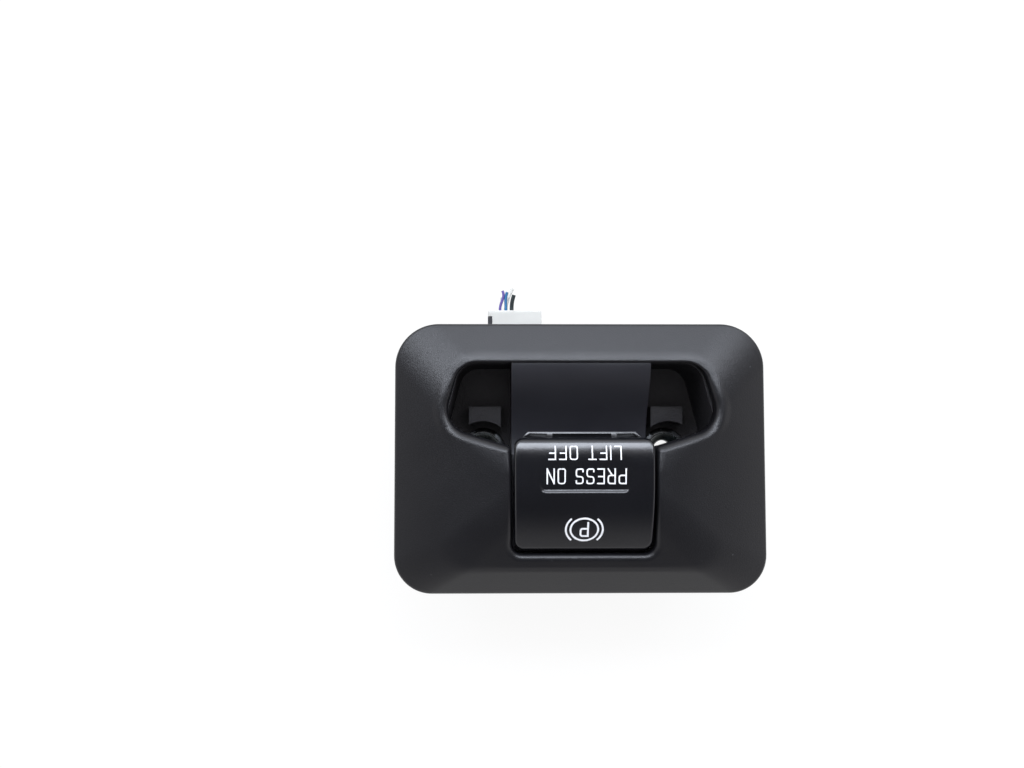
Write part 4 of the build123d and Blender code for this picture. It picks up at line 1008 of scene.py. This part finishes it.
for colour, (radius, *run) in wireForm["wires"].items():
    path = wirePath(*run)
    addPiece(colour + "Wire", cutWire(path, radius), wireLooks[colour], "housing",
             ["wire_" + colour])
    addPiece(colour + "Core", coreStrands(path, radius), drawnCopper, "housing",
             sharpAngle=50)
print("wires made")

# Black block in the notch beside the plug's corner, its end level with the plug's face: painted shade for the
# dark hollow of the notch
notchShadeForm = {"left": -25.42, "right": -24.1, "low": 39.0, "high": 41.9, "corner": 0.25, "ends": (-34.0, -28.3)}
notchShadeLoop = roundedLoop(rectangle(notchShadeForm["left"], notchShadeForm["low"], notchShadeForm["right"], notchShadeForm["high"]),
                      [notchShadeForm["corner"]] * 4, 0.6)
notchShadePoints = [(p[0], p[1], z) for z in notchShadeForm["ends"] for p in notchShadeLoop]
addPiece("notchShadeBlock", (notchShadePoints, cappedRings(2, len(notchShadeLoop))), glassNylon, "housing",
         sharpAngle=50)


# CAD nodes that keep their own mesh

nodeLooks = {
    "bezel_clips": springSteel, "chip_components": firedCeramic, "circuit_board": solderMaskedBoard,
    "contact_wipers": tinnedBronze, "control_chip": mouldedEpoxy, "crimp_terminals": tinnedBronze,
    "header_pins": tinnedBronze, "indicator_lamps": diffusingResin, "light_guide": clearGuide,
    "pivot_pin": zincPlatedSteel,
}
for node, material in nodeLooks.items():
    holder = frame["nodes"][node]
    for slot in holder.material_slots:
        slot.material = material
    if not holder.material_slots:
        holder.data.materials.append(material)


# Table, light and camera

stageForm = {"floor": 6.0, "white": "#F2F2F1", "shadowShare": 0.11}


def addFloor():
    # White table that the camera sees evenly lit, with only a share of the part's shadow
    material, tree, shader, where = startMaterial("plainTable")
    fine = addNode(tree, "ShaderNodeTexNoise", {"Vector": where, "Scale": perMm(3.0)})
    tone = addNode(tree, "ShaderNodeMix",
                   {"Factor": fine.outputs["Fac"], "A": linear("#EFEFEE"), "B": linear(stageForm["white"])},
                   data_type="RGBA")
    tree.links.new(tone.outputs["Result"], shader.inputs["Base Color"])
    shader.inputs["Roughness"].default_value = 0.7
    glow = addNode(tree, "ShaderNodeEmission", {"Color": (1, 1, 1, 1), "Strength": 1.0})
    path = addNode(tree, "ShaderNodeLightPath")
    seen = addNode(tree, "ShaderNodeMath",
                   {0: path.outputs["Is Camera Ray"], 1: path.outputs["Is Glossy Ray"]}, operation="MAXIMUM")
    seen = addNode(tree, "ShaderNodeMath", {0: seen.outputs[0], 1: path.outputs["Is Transmission Ray"]},
                   operation="MAXIMUM")
    share = addNode(tree, "ShaderNodeMath", {0: seen.outputs[0], 1: 1 - stageForm["shadowShare"]},
                    operation="MULTIPLY")
    mix = addNode(tree, "ShaderNodeMixShader",
                  {0: share.outputs[0], 1: shader.outputs[0], 2: glow.outputs[0]})
    tree.links.new(mix.outputs[0], tree.nodes["Material Output"].inputs["Surface"])
    half = stageForm["floor"] / 2
    mesh = bpy.data.meshes.new("table")
    corners = [(-half, -half), (half, -half), (half, half), (-half, half)]
    mesh.from_pydata([(x, y, cadBox[0][2]) for x, y in corners], [], [(0, 1, 2, 3)])
    mesh.materials.append(material)
    table = bpy.data.objects.new("table", mesh)
    bpy.context.scene.collection.objects.link(table)


lightForm = {
    # Windows high behind the far edge, a pale wall round them, and a room dim overhead
    "lamps": {
        # name: turn to the right, angle from overhead, size in m at 1 m off, radiance
        "window": (0.0, 35.5, (0.46, 0.24), 10.5),
        "leftWindow": (-45.0, 40.0, (0.24, 0.24), 9.5),
        "rightWindow": (43.0, 40.0, (0.24, 0.24), 9.5),
    },
    "windowColour": "#EDF3FF",
    # Plain light from above that only fills deep hollows, without a shine of its own
    "fillHigh": 0.6, "fillSize": 0.5, "fillGlow": 2.3,
    "wallGlow": 2.8, "wallUpper": (0.96, 0.78), "wallLower": (0.25, 0.5), "wallAcross": (0.42, 0.8),
    "roomLow": 0.83, "roomHigh": 0.07, "roomHeights": (0.15, 0.84), "roomColour": "#FFFDFF",
}


def addLights():
    form = lightForm

    def addLamp(name, spot, size, glow, colour):
        data = bpy.data.lights.new(name, "AREA")
        data.shape = "RECTANGLE"
        data.size, data.size_y = size
        data.energy = glow * math.pi * size[0] * size[1]
        data.color = linear(colour)[:3]
        lamp = bpy.data.objects.new(name, data)
        bpy.context.scene.collection.objects.link(lamp)
        lamp.location = spot
        lamp.rotation_euler = (-Vector(spot)).to_track_quat("-Z", "Y").to_euler()
        return lamp

    for name, (turn, tilt, size, glow) in form["lamps"].items():
        turn, tilt = math.radians(turn), math.radians(tilt)
        spot = (math.sin(tilt) * math.sin(turn), math.sin(tilt) * math.cos(turn), math.cos(tilt))
        addLamp(name, spot, size, glow, form["windowColour"])
    fill = addLamp("fill", (0, 0, form["fillHigh"]), (form["fillSize"],) * 2, form["fillGlow"], "#FFFFFF")
    fill.visible_glossy = False
    world = bpy.data.worlds.new("paleRoom")
    bpy.context.scene.world = world
    world.use_nodes = True
    tree = world.node_tree
    tree.nodes.clear()
    where = addNode(tree, "ShaderNodeTexCoord").outputs["Generated"]
    parts = addNode(tree, "ShaderNodeSeparateXYZ", {"Vector": where})

    def ramp(value, ends, levels):
        return addNode(tree, "ShaderNodeMapRange",
                       {"Value": value, "From Min": ends[0], "From Max": ends[1], "To Min": levels[0],
                        "To Max": levels[1]}, interpolation_type="SMOOTHSTEP").outputs["Result"]

    def combine(operation, first, second=0.0):
        return addNode(tree, "ShaderNodeMath", {0: first, 1: second}, operation=operation).outputs[0]

    up = parts.outputs["Z"]
    level = ramp(up, form["roomHeights"], (form["roomLow"], form["roomHigh"]))
    flat = combine("SQRT", combine("SUBTRACT", 1.0001, combine("MULTIPLY", up, up)))
    wall = combine("MULTIPLY", ramp(up, form["wallUpper"], (0, 1)), ramp(up, form["wallLower"], (0, 1)))
    across = ramp(combine("DIVIDE", parts.outputs["Y"], flat), form["wallAcross"], (0, 1))
    wall = combine("MULTIPLY", wall, across)
    total = combine("ADD", level, combine("MULTIPLY", wall, form["wallGlow"]))
    tint = addNode(tree, "ShaderNodeMix", {"Factor": wall, "A": linear(form["roomColour"]),
                                           "B": linear(form["windowColour"])}, data_type="RGBA")
    path = addNode(tree, "ShaderNodeLightPath")
    strength = addNode(tree, "ShaderNodeMix", {0: path.outputs["Is Camera Ray"], 2: total, 3: 1.0})
    sky = addNode(tree, "ShaderNodeBackground",
                  {"Color": tint.outputs["Result"], "Strength": strength.outputs[0]})
    out = addNode(tree, "ShaderNodeOutputWorld")
    tree.links.new(sky.outputs[0], out.inputs["Surface"])


cameraForm = {"spot": (-21.14, 8.5, 224.78), "tilt": 2.9, "turn": -0.7, "focal": 831.5, "frameWide": 1024.0}


def addCamera():
    data = bpy.data.cameras.new("overhead")
    data.sensor_width = 36.0
    data.lens = cameraForm["focal"] / cameraForm["frameWide"] * data.sensor_width
    data.clip_start = 0.01
    camera = bpy.data.objects.new("overhead", data)
    bpy.context.scene.collection.objects.link(camera)
    spot = (Vector(cameraForm["spot"]) + faceMiddle) * mm
    tilt = Matrix.Rotation(math.radians(cameraForm["tilt"]), 4, "X")
    turn = Matrix.Rotation(math.radians(cameraForm["turn"]), 4, "Y")
    camera.matrix_world = Matrix.Translation(spot) @ tilt @ turn
    bpy.context.scene.camera = camera


addFloor()
addLights()
addCamera()
bpy.context.scene.view_settings.view_transform = "Standard"
print("stage, light and camera set")
